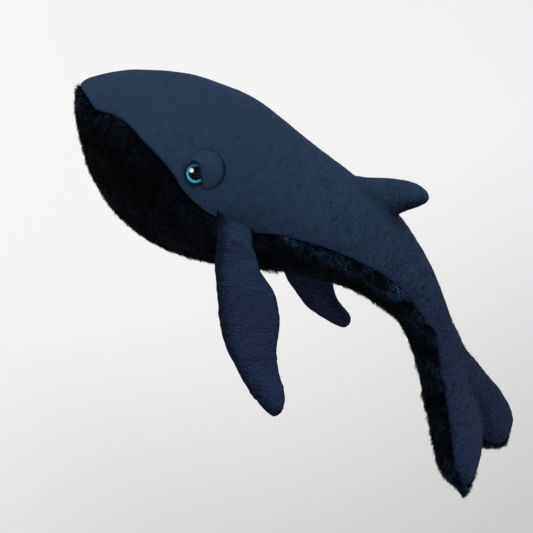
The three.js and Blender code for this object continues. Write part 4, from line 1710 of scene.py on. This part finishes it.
    def _finish_fur(self, panel: Piece, nodes: list[str], strands: int, bends: bool) -> None:
        """Gives a fur panel its pile, its thickness and its finish.

        Args:
            panel: The panel.
            nodes: The nodes that it stands for.
            strands: How many strands its pile has.
            bends: Whether it goes with the tail's pieces instead of being attached to the body.
        """
        self._comb(panel)
        pile = FurPile(strands=strands).grow(panel.name.replace("panel", "pile"), panel)
        for left_over in ("comb", "bend", "pile", "glow"):
            panel.data.attributes.remove(panel.data.attributes[left_over])
        thicken(panel, self.cloth_thickness)
        panel.data.materials.append(FurBacking().material())
        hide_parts(*nodes)
        for piece in (panel, pile):
            if bends:
                self._bend_with_tail(piece)
            else:
                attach(piece, "body")
            tell(piece)

    def _comb(self, panel: Piece) -> None:
        """Says which way the pile leans, bends and how long it is, and where its painted sheen lies, at
        each vertex.
        """
        points, normals = places_of(panel), unit(stored(panel, "form_normal"))
        x = points[:, 0]
        back = unit(flattened((1.0, 0.0, -0.35), normals))
        up = unit(flattened((0.0, 0.0, 1.0), normals))
        seam = np.maximum(self.form.seam_height(x) - points[:, 2], 0)
        fringe = fading(seam, 4.5 * MM)[:, None]
        clump = columns(*(lumps(points, 4.5 * MM, 31 + axis) for axis in range(3)))
        swirl = columns(*(lumps(points, 22 * MM, 41 + axis) for axis in range(3)))
        lean = normals * 0.75 + back * 0.6 + up * fringe * 0.75 + clump * 0.38 + swirl * 0.3
        ends = bell(x - self.form.x_at(0.0), 7 * MM) + bell(x - self.form.x_at(1.0), 9 * MM)
        length = 1 + 0.2 * lumps(points, 8 * MM, 51) - 0.25 * ends
        store(panel, "comb", unit(lean))
        store(panel, "bend", (back * 0.9 + clump * 0.9 + swirl * 0.6) * (1.5 * MM))
        store(panel, "pile", length)
        store(panel, "glow", self._sheen_pattern(points, seam))

    def _sheen_pattern(self, points: Array, seam: Array) -> Array:
        """Painted blue sheen on the pile: below the seam, most of all along the belly.

        Args:
            points: The places as rows.
            seam: How far each lies below the seam.

        Returns:
            How strong the painted sheen is at each.
        """
        strength = np.interp(self.form.share_of(points), self.glow_shares, self.sheen_levels)
        streaks = lumps(points * (0.45, 1.0, 1.0), 6 * MM, 57)
        patches = np.clip(0.3 + 1.1 * streaks + 0.4 * lumps(points, 2.5 * MM, 58), 0, 1)
        faint = 0.1 * np.clip(lumps(points, 20 * MM, 59), 0, 1)
        return strength * patches * bell(seam, 12 * MM) + faint


@dataclass
class PectoralFin:
    """One pectoral fin: two cloth panels over stuffing, sewn into the body's side."""

    form: WhaleForm
    side: Side
    reach: float = 135 * MM
    drop: float = 88 * MM
    splay: float = 28 * MM
    chord: float = 54.0 * MM
    thickness: float = 20 * MM
    root_thickness: float = 14 * MM
    root_chord: float = 37 * MM
    clearance: float = 0.6 * MM
    rings: int = 260
    sides: int = 176
    cloth_thickness: float = 0.9 * MM
    seam_dip: float = 0.5 * MM
    seam_slot: float = 0.8 * MM
    seam_reach: float = 7 * MM
    pucker: float = 0.55 * MM
    lump_height: float = 0.5 * MM
    filling_share: float = 0.66
    filling_lump: float = 0.5 * MM

    def build(self) -> None:
        """Builds the fin's two panels and its stuffing."""
        grid, spine = self._surface()
        sides = grid.shape[1]
        half = sides // 2
        turns = np.arange(half + 1)
        panels = {"outer": grid[:, turns], "inner": grid[:, (turns + half) % sides]}
        for name, part in panels.items():
            panel = self._panel(f"{self.side.word}_fin_{name}_panel", part, spine, name == "outer")
            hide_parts(f"{self.side.word}_fin_{name}_cloth")
            self._bend_at_root(panel, spine)
            tell(panel)
        self._stuff(grid, spine)

    def _rows(self) -> tuple[Array, Array, Array, Array]:
        """The fin's middles, chords, half thicknesses and faces from the seam to the tip."""
        mirror = np.array((1, -self.side.value, 1))
        root = self.form.head_place(FIN_ROOT_SHARE, 0.0, self.side)
        middle = np.array(root.point + root.outward * (self.root_thickness / 2 + self.clearance))
        run, face = unit(FIN_ROOT_RUN_SHARES * mirror), unit(FIN_FACE_SHARES * mirror)
        rows = np.array(FIN_SECTION_SHARES)
        spread = np.array((self.reach, self.side.value * self.splay, -self.drop))
        middles = middle + rows[:, :3] * spread
        chords = rows[:, 3:6] * mirror * self.chord / 2
        halves = rows[:, 6] * self.thickness / 2
        under = middles[:, 2] - np.hypot(chords[:, 2], halves * face[2])
        lowest = int(np.argmin(under))
        bend = (-self.form.rest_flat - under[lowest]) / rows[lowest, 0]
        middles[:, 2] += bend * rows[:, 0]
        tip = middle + FIN_TIP_SHARES * spread + (0, 0, bend)
        down = unit(middles[0] - middle)
        root_face = unit(np.cross(run, down))
        root_face *= 1 if root_face @ face > 0 else -1
        outward = np.array(root.outward)
        tuck = middle - outward * (self.root_thickness / 2 + 3 * MM) - down * 9 * MM
        neck = middle - outward * (self.root_thickness / 2 - 1.5 * MM) - down * 4 * MM
        run_half = run * self.root_chord / 2
        middles = np.vstack((tuck, neck, middle, middles, tip))
        chords = np.vstack((run_half * 0.98, run_half, run_half, chords, chords[-1] * 0.02))
        halves = np.array((1.6 * MM, 3.4 * MM, self.root_thickness / 2 * 0.92, *halves, 0.1 * MM))
        faces = np.array([root_face] * 3 + [face] * (len(middles) - 3))
        return middles, chords, halves, faces

    def _surface(self) -> tuple[Array, Array]:
        """The fin's surface as a grid of points, and its spine."""
        middles, chords, halves, faces = self._rows()
        knots = np.concatenate(([0.0], np.cumsum(np.linalg.norm(np.diff(middles, axis=0), axis=1))))
        turn = np.linspace(0, math.pi / 2, self.rings + 1)[:-1]
        at = knots[-1] * np.sin(turn) ** 0.92
        spine = through(knots, middles, at)
        sizes = np.linalg.norm(chords, axis=1) ** 2
        squares = np.stack((sizes, halves**2), axis=1)
        squares[-1] = 0
        grown = root(through(knots, squares, at))
        across = unit(through(knots, unit(chords), at))
        facing = unit(through(knots, faces, at))
        angle = np.linspace(0, 2 * math.pi, self.sides, endpoint=False)
        cosine, sine = np.cos(angle)[None, :, None], np.sin(angle)[None, :, None]
        wide = across[:, None] * grown[:, 0][:, None, None] * cosine
        lens = np.sign(sine) * np.abs(sine) ** 1.12
        deep = facing[:, None] * grown[:, 1][:, None, None] * lens
        grid = spine[:, None] + wide + deep
        grid[..., 2] = np.maximum(grid[..., 2], 0.0)
        return grid, spine

    def _panel(self, name: str, part: Array, spine: Array, outer: bool) -> Piece:
        """One cloth panel of the fin, drawn in along its edges.

        Args:
            name: The panel's name.
            part: Its grid of points.
            spine: The middles of the fin's rings.
            outer: Whether it is the panel that faces away from the body.

        Returns:
            The dressed panel.
        """
        rings, columns = part.shape[:2]
        points = part.reshape(-1, 3)
        index = np.arange(rings * columns).reshape(rings, columns)
        quads = np.stack((index[:-1, :-1], index[:-1, 1:], index[1:, 1:], index[1:, :-1]), axis=-1)
        panel = object_from(name, points, quads.reshape(-1, 4))
        middle_face = panel.data.polygons[len(panel.data.polygons) // 2]
        if np.array(middle_face.normal) @ (np.array(middle_face.center) - spine[rings // 2]) < 0:
            panel.data.flip_normals()
        rear = np.linalg.norm(part - part[:, :1], axis=2).ravel()
        front = np.linalg.norm(part - part[:, -1:], axis=2).ravel()
        if not outer:
            rear, front = front, rear
        edge = np.minimum(rear, front)
        down = unit(np.array(FIN_CREASE_SHARES) * (1, -self.side.value, 1))
        chord = unit(np.cross(down, (0.0, 1.0, 0.0)))
        flat = points @ np.stack((down, chord, np.cross(down, chord)), axis=1)
        flat += (0.0, 0.5 + self.side.value * 0.2, 0.0)
        gathers = lumps(flat * (1.0, 0.3, 0.3), 4 * MM, 61)
        inset = self.seam_dip * bell(edge, self.seam_reach) + self.seam_slot * fading(edge, 1.2 * MM)
        inset -= self.pucker * gathers * fading(edge, self.seam_reach) * (1 - fading(edge, MM))
        inset -= self.lump_height * lumps(points, 22 * MM, 67)
        moved = points - normals_of(panel) * inset[:, None]
        moved[:, 2] = np.maximum(moved[:, 2], 0.0)
        move_to(panel, moved)
        store(panel, "cloth_place", flat * (1.0, 0.42, 0.42))
        store(panel, "crinkle", 0.62 - 0.3 * fading(edge, 2 * MM))
        # Painted shade: darker along the front edge and the rear seam, and over all of the inner panel.
        dark = 0.95 * bell(front, 12 * MM) + 0.5 * fading(rear, 2.5 * MM)
        store(panel, "shade", dark + (0.0 if outer else 0.4))
        Crinkles(spacing=4.2 * MM, length=7.5 * MM, relief=0.45 * MM).apply(panel)
        thicken(panel, self.cloth_thickness)
        panel.data.materials.append(CrinkleCloth().material())
        return panel

    def _bend_at_root(self, piece: Piece, spine: Array) -> None:
        """Bakes a piece's place into its mesh; the fin's root direction is found but not used.

        Args:
            piece: The piece.
            spine: The middles of the fin's rings.
        """
        down = Vector(spine[self.rings // 3] - spine[0]).normalized()
        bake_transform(piece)

    def _stuff(self, grid: Array, spine: Array) -> None:
        """Makes the fin's fibre filling.

        Args:
            grid: The fin's surface as a grid of points.
            spine: The middles of its rings.
        """
        rows, columns = grid[30:-36:6, ::6], spine[30:-36:6]
        out = rows - columns[:, None]
        rise = self.filling_lump * lumps(rows.reshape(-1, 3), 7 * MM, 71)
        shrunk = columns[:, None] + out * self.filling_share
        shrunk += unit(out) * rise.reshape(rows.shape[:2])[..., None]
        count, sides = shrunk.shape[:2]
        points = np.vstack((columns[:1], shrunk.reshape(-1, 3), columns[-1:]))
        name = f"{self.side.word}_fin_stuffing"
        filling = object_from(name, points, loft_faces(count, sides))
        turn_outward(filling)
        filling.data.materials.append(Stuffing().material())
        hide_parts(f"{self.side.word}_fin_filling")
        self._bend_at_root(filling, spine)
        tell(filling)


def turned(name: str, profile: Sequence, place: Place, steps: int = 72) -> Piece:
    """Turns a profile round an axis that stands on the skin.

    Args:
        name: The piece's name.
        profile: Radius and height of each point; it starts and ends on the axis, or closes.
        place: The foot of the axis.
        steps: How many steps go round.

    Returns:
        The closed piece.
    """
    back, upward = place.frame()
    closed = profile[0][0] > 0
    points: list[Vector] = []
    rows: list[list[int]] = []
    for radius, height in profile:
        foot = place.point + place.outward * height
        count = 1 if radius == 0 else steps
        rows.append([len(points) + i % count for i in range(steps)])
        for step in range(count):
            angle = 2 * math.pi * step / steps
            points.append(foot + (back * math.cos(angle) + upward * math.sin(angle)) * radius)
    faces = []
    pairs = list(zip(rows, rows[1:])) + ([(rows[-1], rows[0])] if closed else [])
    for low, high in pairs:
        for step in range(steps):
            after = (step + 1) % steps
            corners = [low[step], low[after], high[after], high[step]]
            face = list(dict.fromkeys(corners))
            if len(face) > 2:
                faces.append(face)
    piece = object_from(name, np.array(points), faces)
    turn_outward(piece)
    piece.data.set_sharp_from_angle(angle=math.radians(MOULDING_SHARP_DEGREES))
    return piece


@dataclass
class SafetyEye:
    """One safety eye: a black back with its stem, painted iris, pupil, clear dome and washer."""

    form: WhaleForm
    side: Side
    diameter: float = 18 * MM
    back_thickness: float = 1.2 * MM
    dome_height: float = 5.4 * MM
    iris_diameter: float = 16.4 * MM
    iris_thickness: float = 0.5 * MM
    pupil_diameter: float = 11.4 * MM
    stem_diameter: float = 4.6 * MM
    stem_length: float = 13 * MM
    washer_diameter: float = 15 * MM
    washer_thickness: float = 1.6 * MM
    washer_depth: float = 4.6 * MM
    gap: float = 0.3 * MM

    def place(self) -> Place:
        """The eye's place on the head."""
        return self.form.head_place(EYE_SHARE, EYE_DEGREES, self.side)

    def dome_foot(self) -> float:
        """How far the dome's foot stands off the skin."""
        return 3 * self.gap + self.back_thickness + self.iris_thickness

    def cover_height(self, away: float) -> float:
        """How high a lid has to stand at a distance from the eye's axis, to clear the eye.

        Args:
            away: The distance.

        Returns:
            The height above the skin.
        """
        rim = self.diameter / 2 + self.gap
        if away >= rim:
            return 0.0
        return self.dome_foot() + (self.dome_height + self.gap) * math.sqrt(1 - (away / rim) ** 2)

    def paintedglint(self, level: float) -> PaintedGlint:
        """The painted white highlight on the iris's face, the same on both sides of the head."""
        place = self.place()
        back, upward = place.frame()
        middle = place.point + place.outward * level - back * 4.0 * MM - upward * 0.6 * MM
        return PaintedGlint((middle.x, abs(middle.y), middle.z))

    def build(self) -> None:
        """Builds the eye's pieces."""
        rim, stem = self.diameter / 2, self.stem_diameter / 2
        low = self.gap
        top = self.gap + self.back_thickness
        collar = self.dome_foot() + 0.7 * MM
        ribs = [(stem * (1 - 0.12 * (i % 2)), -self.stem_length + i * 0.8 * MM) for i in range(1, 13)]
        cup = [(rim, low), (rim, collar), (rim - 0.7 * MM, collar), (rim - 0.7 * MM, top), (0.0, top)]
        back = [(0.0, -self.stem_length), (stem * 0.7, -self.stem_length)] + ribs + [(stem, low)] + cup
        self._piece("eye_back", back, Plastic("eye_black", srgb(6, 6, 8), 0.3, 0.06))
        level = top + self.gap
        face = level + self.iris_thickness
        inner, outer = self.pupil_diameter / 2, self.iris_diameter / 2
        ring = [(inner, level), (outer, level), (outer, face), (inner, face)]
        self._piece("eye_iris", ring, IrisPaint(self.paintedglint(face)))
        disc = [(0.0, level), (inner - self.gap / 4, level), (inner - self.gap / 4, face), (0.0, face)]
        self._piece("eye_pupil", disc, PupilPrint(self.paintedglint(face)))
        foot, steps = self.dome_foot(), 28
        clear_rim = rim - 0.75 * MM
        turns = [math.pi / 2 * i / steps for i in range(steps)]
        arc = [(clear_rim * math.cos(t), foot + self.dome_height * math.sin(t)) for t in turns]
        dome = [(0.0, foot - self.gap / 2), (clear_rim, foot - self.gap / 2)] + arc
        self._piece("eye_dome", dome + [(0.0, foot + self.dome_height)], ClearDome())
        high = -self.washer_depth
        hole = stem + self.gap
        flange = [
            (hole, high - self.washer_thickness),
            (self.washer_diameter / 2, high - self.washer_thickness * 0.7),
            (self.washer_diameter / 2, high),
            (hole * 1.7, high),
            (hole, high + 0.4 * MM),
        ]
        washer = Plastic("washer_white", srgb(222, 222, 218), 0.5)
        self._piece("eye_washer", flange, washer)
        LOG.info("%s eye: back, iris, pupil, dome and washer", self.side.word)

    def _piece(self, node: str, profile: Sequence, finish: Finish) -> None:
        """Turns one piece of the eye, which stands for its node.

        Args:
            node: The node's name without its side.
            profile: Radius and height of each point.
            finish: Its finish.
        """
        name = f"{self.side.word}_{node}"
        piece = turned(f"{name}_moulding", profile, self.place())
        piece.data.materials.append(finish.material())
        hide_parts(name)
        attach(piece, "body")


@dataclass
class Eyelid:
    """One padded lid: a round cloth cushion sewn to the head, which covers the back of the eye."""

    form: WhaleForm
    side: Side
    eye: SafetyEye
    skin: BVHTree
    radius: float = 16.5 * MM
    height: float = 10.0 * MM
    edges: tuple = ((0.631, 0.776, 3.5 * MM), (-0.329, 0.944, 8.6 * MM))
    lift: float = 5.0 * MM
    roll: float = 2.6 * MM
    lip: float = 1.6 * MM
    shade_reach: float = 2.4 * MM
    rings: int = 60
    turns: int = 180

    def build(self) -> None:
        """Builds the lid as a closed cushion."""
        place = self.form.head_place(LID_SHARE, LID_DEGREES, self.side)
        eye_place = self.eye.place()
        back, upward = place.frame()
        eye_back, eye_up = eye_place.frame()
        planes = [(eye_back * a + eye_up * b, overlap) for a, b, overlap in self.edges]
        pivot = place.point + planes[1][0] * self.lift
        top, bottom, shades = [], [], []
        for turn in range(self.turns):
            angle = 2 * math.pi * turn / self.turns
            ray = back * math.cos(angle) + upward * math.sin(angle)
            reach, opened = self._reach(place, pivot, ray, eye_place, planes)
            for ring in range(self.rings + 1):
                share = (ring / self.rings) ** 0.8
                at = pivot + ray * (reach * share)
                low, skin = self._under(at, place, eye_place)
                flat = at - place.point
                out = (flat - place.outward * flat.dot(place.outward)).length / self.radius
                front = max(0.0, -flat.dot(back) / self.radius)
                full = max(skin + self.height * (1 - (0.5 + 0.45 * front) * out**2), low + self.lip)
                inside = max(0.0, 1 - reach * (1 - share) / self.roll)
                high = low + (full - low) * math.sqrt(max(0.0, 1 - inside**2))
                top.append(at + place.outward * high)
                bottom.append(at + place.outward * low)
                # Painted shade along the lid's open edge over the eye.
                shades.append(opened * math.exp(-reach * (1 - share) / self.shade_reach))
        self._cushion(np.array(top), np.array(bottom), np.array(shades))

    def _reach(
        self, place: Place, pivot: Vector, ray: Vector, eye_place: Place, planes: list
    ) -> tuple[float, float]:
        """How far the lid goes from its pivot along a ray.

        Args:
            place: The lid's middle.
            pivot: The point from which the rays start.
            ray: The direction.
            eye_place: The eye's middle.
            planes: The two edges of the opening over the eye, each a direction and a distance.

        Returns:
            The way to the round edge, or to the opening where that is nearer, and from 0 to 1
            whether it is the opening.
        """
        offset = pivot - place.point
        along = offset.dot(ray)
        round_edge = -along + math.sqrt(max(along**2 - offset.length_squared + self.radius**2, 0.0))
        crossings = []
        for direction, overlap in planes:
            start = (pivot - eye_place.point).dot(direction) - overlap
            slope = -ray.dot(direction)
            crossings.append(start / slope if slope > 1e-6 else 1.0)
        sharp = 7
        opening = (crossings[0] ** sharp + crossings[1] ** sharp) ** (1 / sharp)
        reach = (round_edge**-sharp + opening**-sharp) ** (-1 / sharp)
        return reach, min(1.0, 4 * max(0.0, 1 - reach / round_edge))

    def _under(self, at: Vector, place: Place, eye_place: Place) -> tuple[float, float]:
        """The lowest height above the lid's own plane that clears head and eye, and the head's own.

        Args:
            at: A point in the lid's plane.
            place: The lid's middle.
            eye_place: The eye's middle.

        Returns:
            The two heights.
        """
        far = at + place.outward * 30 * MM
        hit = self.skin.ray_cast(far, -place.outward)[0]
        head = (hit - at).dot(place.outward) if hit else 0.0
        flat = at + place.outward * head
        away = flat - eye_place.point
        away -= eye_place.outward * away.dot(eye_place.outward)
        eye = self.eye.cover_height(away.length)
        return (head + eye + 0.15 * MM if eye else head - 0.6 * MM), head

    def _cushion(self, top: Array, bottom: Array, shades: Array) -> None:
        """Closes the lid's two faces into a cushion, and dresses it.

        Args:
            top: The points of the upper face.
            bottom: The points of the lower one.
            shades: How dark the painted shade is at each point of a face.
        """
        rows = self.rings + 1
        faces = []
        count = self.turns * rows
        for turn in range(self.turns):
            here, after = turn * rows, (turn + 1) % self.turns * rows
            for ring in range(self.rings):
                quad = [here + ring, here + ring + 1, after + ring + 1, after + ring]
                faces.append(quad)
                faces.append([count + i for i in reversed(quad)])
            here, after = here + self.rings, after + self.rings
            faces.append([here, count + here, count + after, after])
        name = f"{self.side.word}_padded_eyelid"
        lid = object_from(name, np.vstack((top, bottom)), faces)
        store(lid, "shade", np.concatenate((shades, shades)) * 0.75)
        turn_outward(lid, 0.02 * MM)
        relax(lid, 3)
        points = places_of(lid)
        store(lid, "cloth_place", self.form.along(points) + (0.7, 0, 0))
        store(lid, "crinkle", np.full(len(points), 0.25))
        lid.data.polygons.foreach_set("use_smooth", [True] * len(lid.data.polygons))
        lid.data.materials.append(CrinkleCloth().material())
        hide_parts(f"{self.side.word}_eyelid")
        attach(lid, "body")
        tell(lid)


@dataclass
class Studio:
    """The pale floor, the soft lamps and the camera."""

    target: Vector = field(default_factory=lambda: Vector((-0.0155, 0.0, 0.0514)))
    elevation: float = 28.0
    roll: float = 42.5
    distance: float = 2.0
    frame_width: float = 0.4775
    sensor: float = 36.0
    key: tuple = (2.6, 25.0)
    catch_light: tuple = (0.16, 0.3)
    surround: float = 0.72
    floor_half: float = 5.0
    floor_drop: float = 0.3
    floor_glow: float = 0.5

    def axes(self) -> tuple[Vector, Vector, Vector]:
        """The picture's right, its up, and the way back to the camera."""
        tilt, turn = math.radians(self.elevation), math.radians(self.roll)
        back = Vector((0, -math.cos(tilt), math.sin(tilt)))
        level_up = Vector((0, math.sin(tilt), math.cos(tilt)))
        right = Vector((1, 0, 0)) * math.cos(turn) + level_up * math.sin(turn)
        return right, back.cross(right), back

    def build(self) -> None:
        """Sets up the camera, the lamps, the world and the floor."""
        right, up, back = self.axes()
        data = bpy.data.cameras.new("camera")
        data.sensor_width = self.sensor
        data.lens = self.sensor * self.distance / self.frame_width
        data.clip_start, data.clip_end = 0.05, 50.0
        camera = linked("camera", data)
        turn = Matrix((right, up, back)).transposed().to_4x4()
        camera.matrix_world = Matrix.Translation(self.target + back * self.distance) @ turn
        bpy.context.scene.camera = camera
        self._lamp("key", up * 2.0 + back * 1.4, *self.key)
        self._lamp("catch_light", back * 1.1 - right * 0.62 + up * 0.42, *self.catch_light)
        self._world()
        self._floor()
        bpy.context.scene.view_settings.view_transform = "Standard"

    def _lamp(self, name: str, away: Vector, size: float, power: float) -> None:
        """Adds a square soft lamp that faces the whale.

        Args:
            name: The lamp's name.
            away: Its place, from the camera's target.
            size: Its width.
            power: Its power in watts.
        """
        data = bpy.data.lights.new(name, "AREA")
        data.size, data.energy = size, power
        lamp = linked(name, data)
        lamp.location = self.target + away
        lamp.rotation_euler = away.to_track_quat("Z", "Y").to_euler()

    def _world(self) -> None:
        """An even pale light all round, which the camera sees as a pale backdrop."""
        world = bpy.data.worlds.new("studio")
        tree = emptied(world)
        sky = {"Color": srgb(243, 243, 244), "Strength": self.surround}
        light = tree.node("ShaderNodeBackground", None, sky)
        backdrop = tree.node("ShaderNodeBackground", None, {"Color": srgb(243, 243, 243), "Strength": 1.0})
        mix = tree.node("ShaderNodeMixShader", None, {0: tree.backdrop_rays(), 1: light, 2: backdrop})
        tree.node("ShaderNodeOutputWorld", None, {"Surface": mix})
        bpy.context.scene.world = world

    def _floor(self) -> None:
        """A wide pale floor, well below the whale, which hangs in the photograph."""
        half = self.floor_half
        corners = np.array([(-half, -half, 0), (half, -half, 0), (half, half, 0), (-half, half, 0)])
        floor = object_from("studio_floor", corners - (0, 0, self.floor_drop), [(0, 1, 2, 3)])
        material = bpy.data.materials.new("studio_floor")
        tree = emptied(material)
        parts = tree.parts(tree.object_place(), "X")
        # Painted light falloff: the floor is lighter towards -X and +Y and darker towards +X and -Y.
        shade = (parts - parts.out("Y") * 0.25).rising(-0.3, 0.45)
        colour = tree.mixed(shade, srgb(254, 254, 254), srgb(206, 205, 203))
        inputs = {"Base Color": colour, "Roughness": 0.95, "Specular IOR Level": 0.1}
        lit = tree.node("ShaderNodeBsdfPrincipled", None, inputs)
        pale = tree.node("ShaderNodeEmission", None, {"Color": colour, "Strength": 1.0})
        inputs = {0: tree.backdrop_rays() * self.floor_glow, 1: lit, 2: pale}
        mix = tree.node("ShaderNodeMixShader", None, inputs)
        tree.node("ShaderNodeOutputMaterial", None, {"Surface": mix})
        floor.data.materials.append(material)
        floor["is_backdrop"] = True


def main() -> None:
    """Builds the whale's pieces in order."""
    logging.basicConfig(level=logging.INFO, format="%(message)s")
    low, high = CAD_BOX
    form = WhaleForm(length=high.x - low.x)
    Studio().build()
    skin = BodySkin(form).build()
    for side in Side:
        eye = SafetyEye(form, side)
        eye.build()
        Eyelid(form, side, eye, skin).build()
        PectoralFin(form, side).build()
    boxes = {"cad": CAD_BOX, "visual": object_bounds()}
    boxes = {name: [list(corner) for corner in box] for name, box in boxes.items()}


if __name__ == "__main__":
    main()
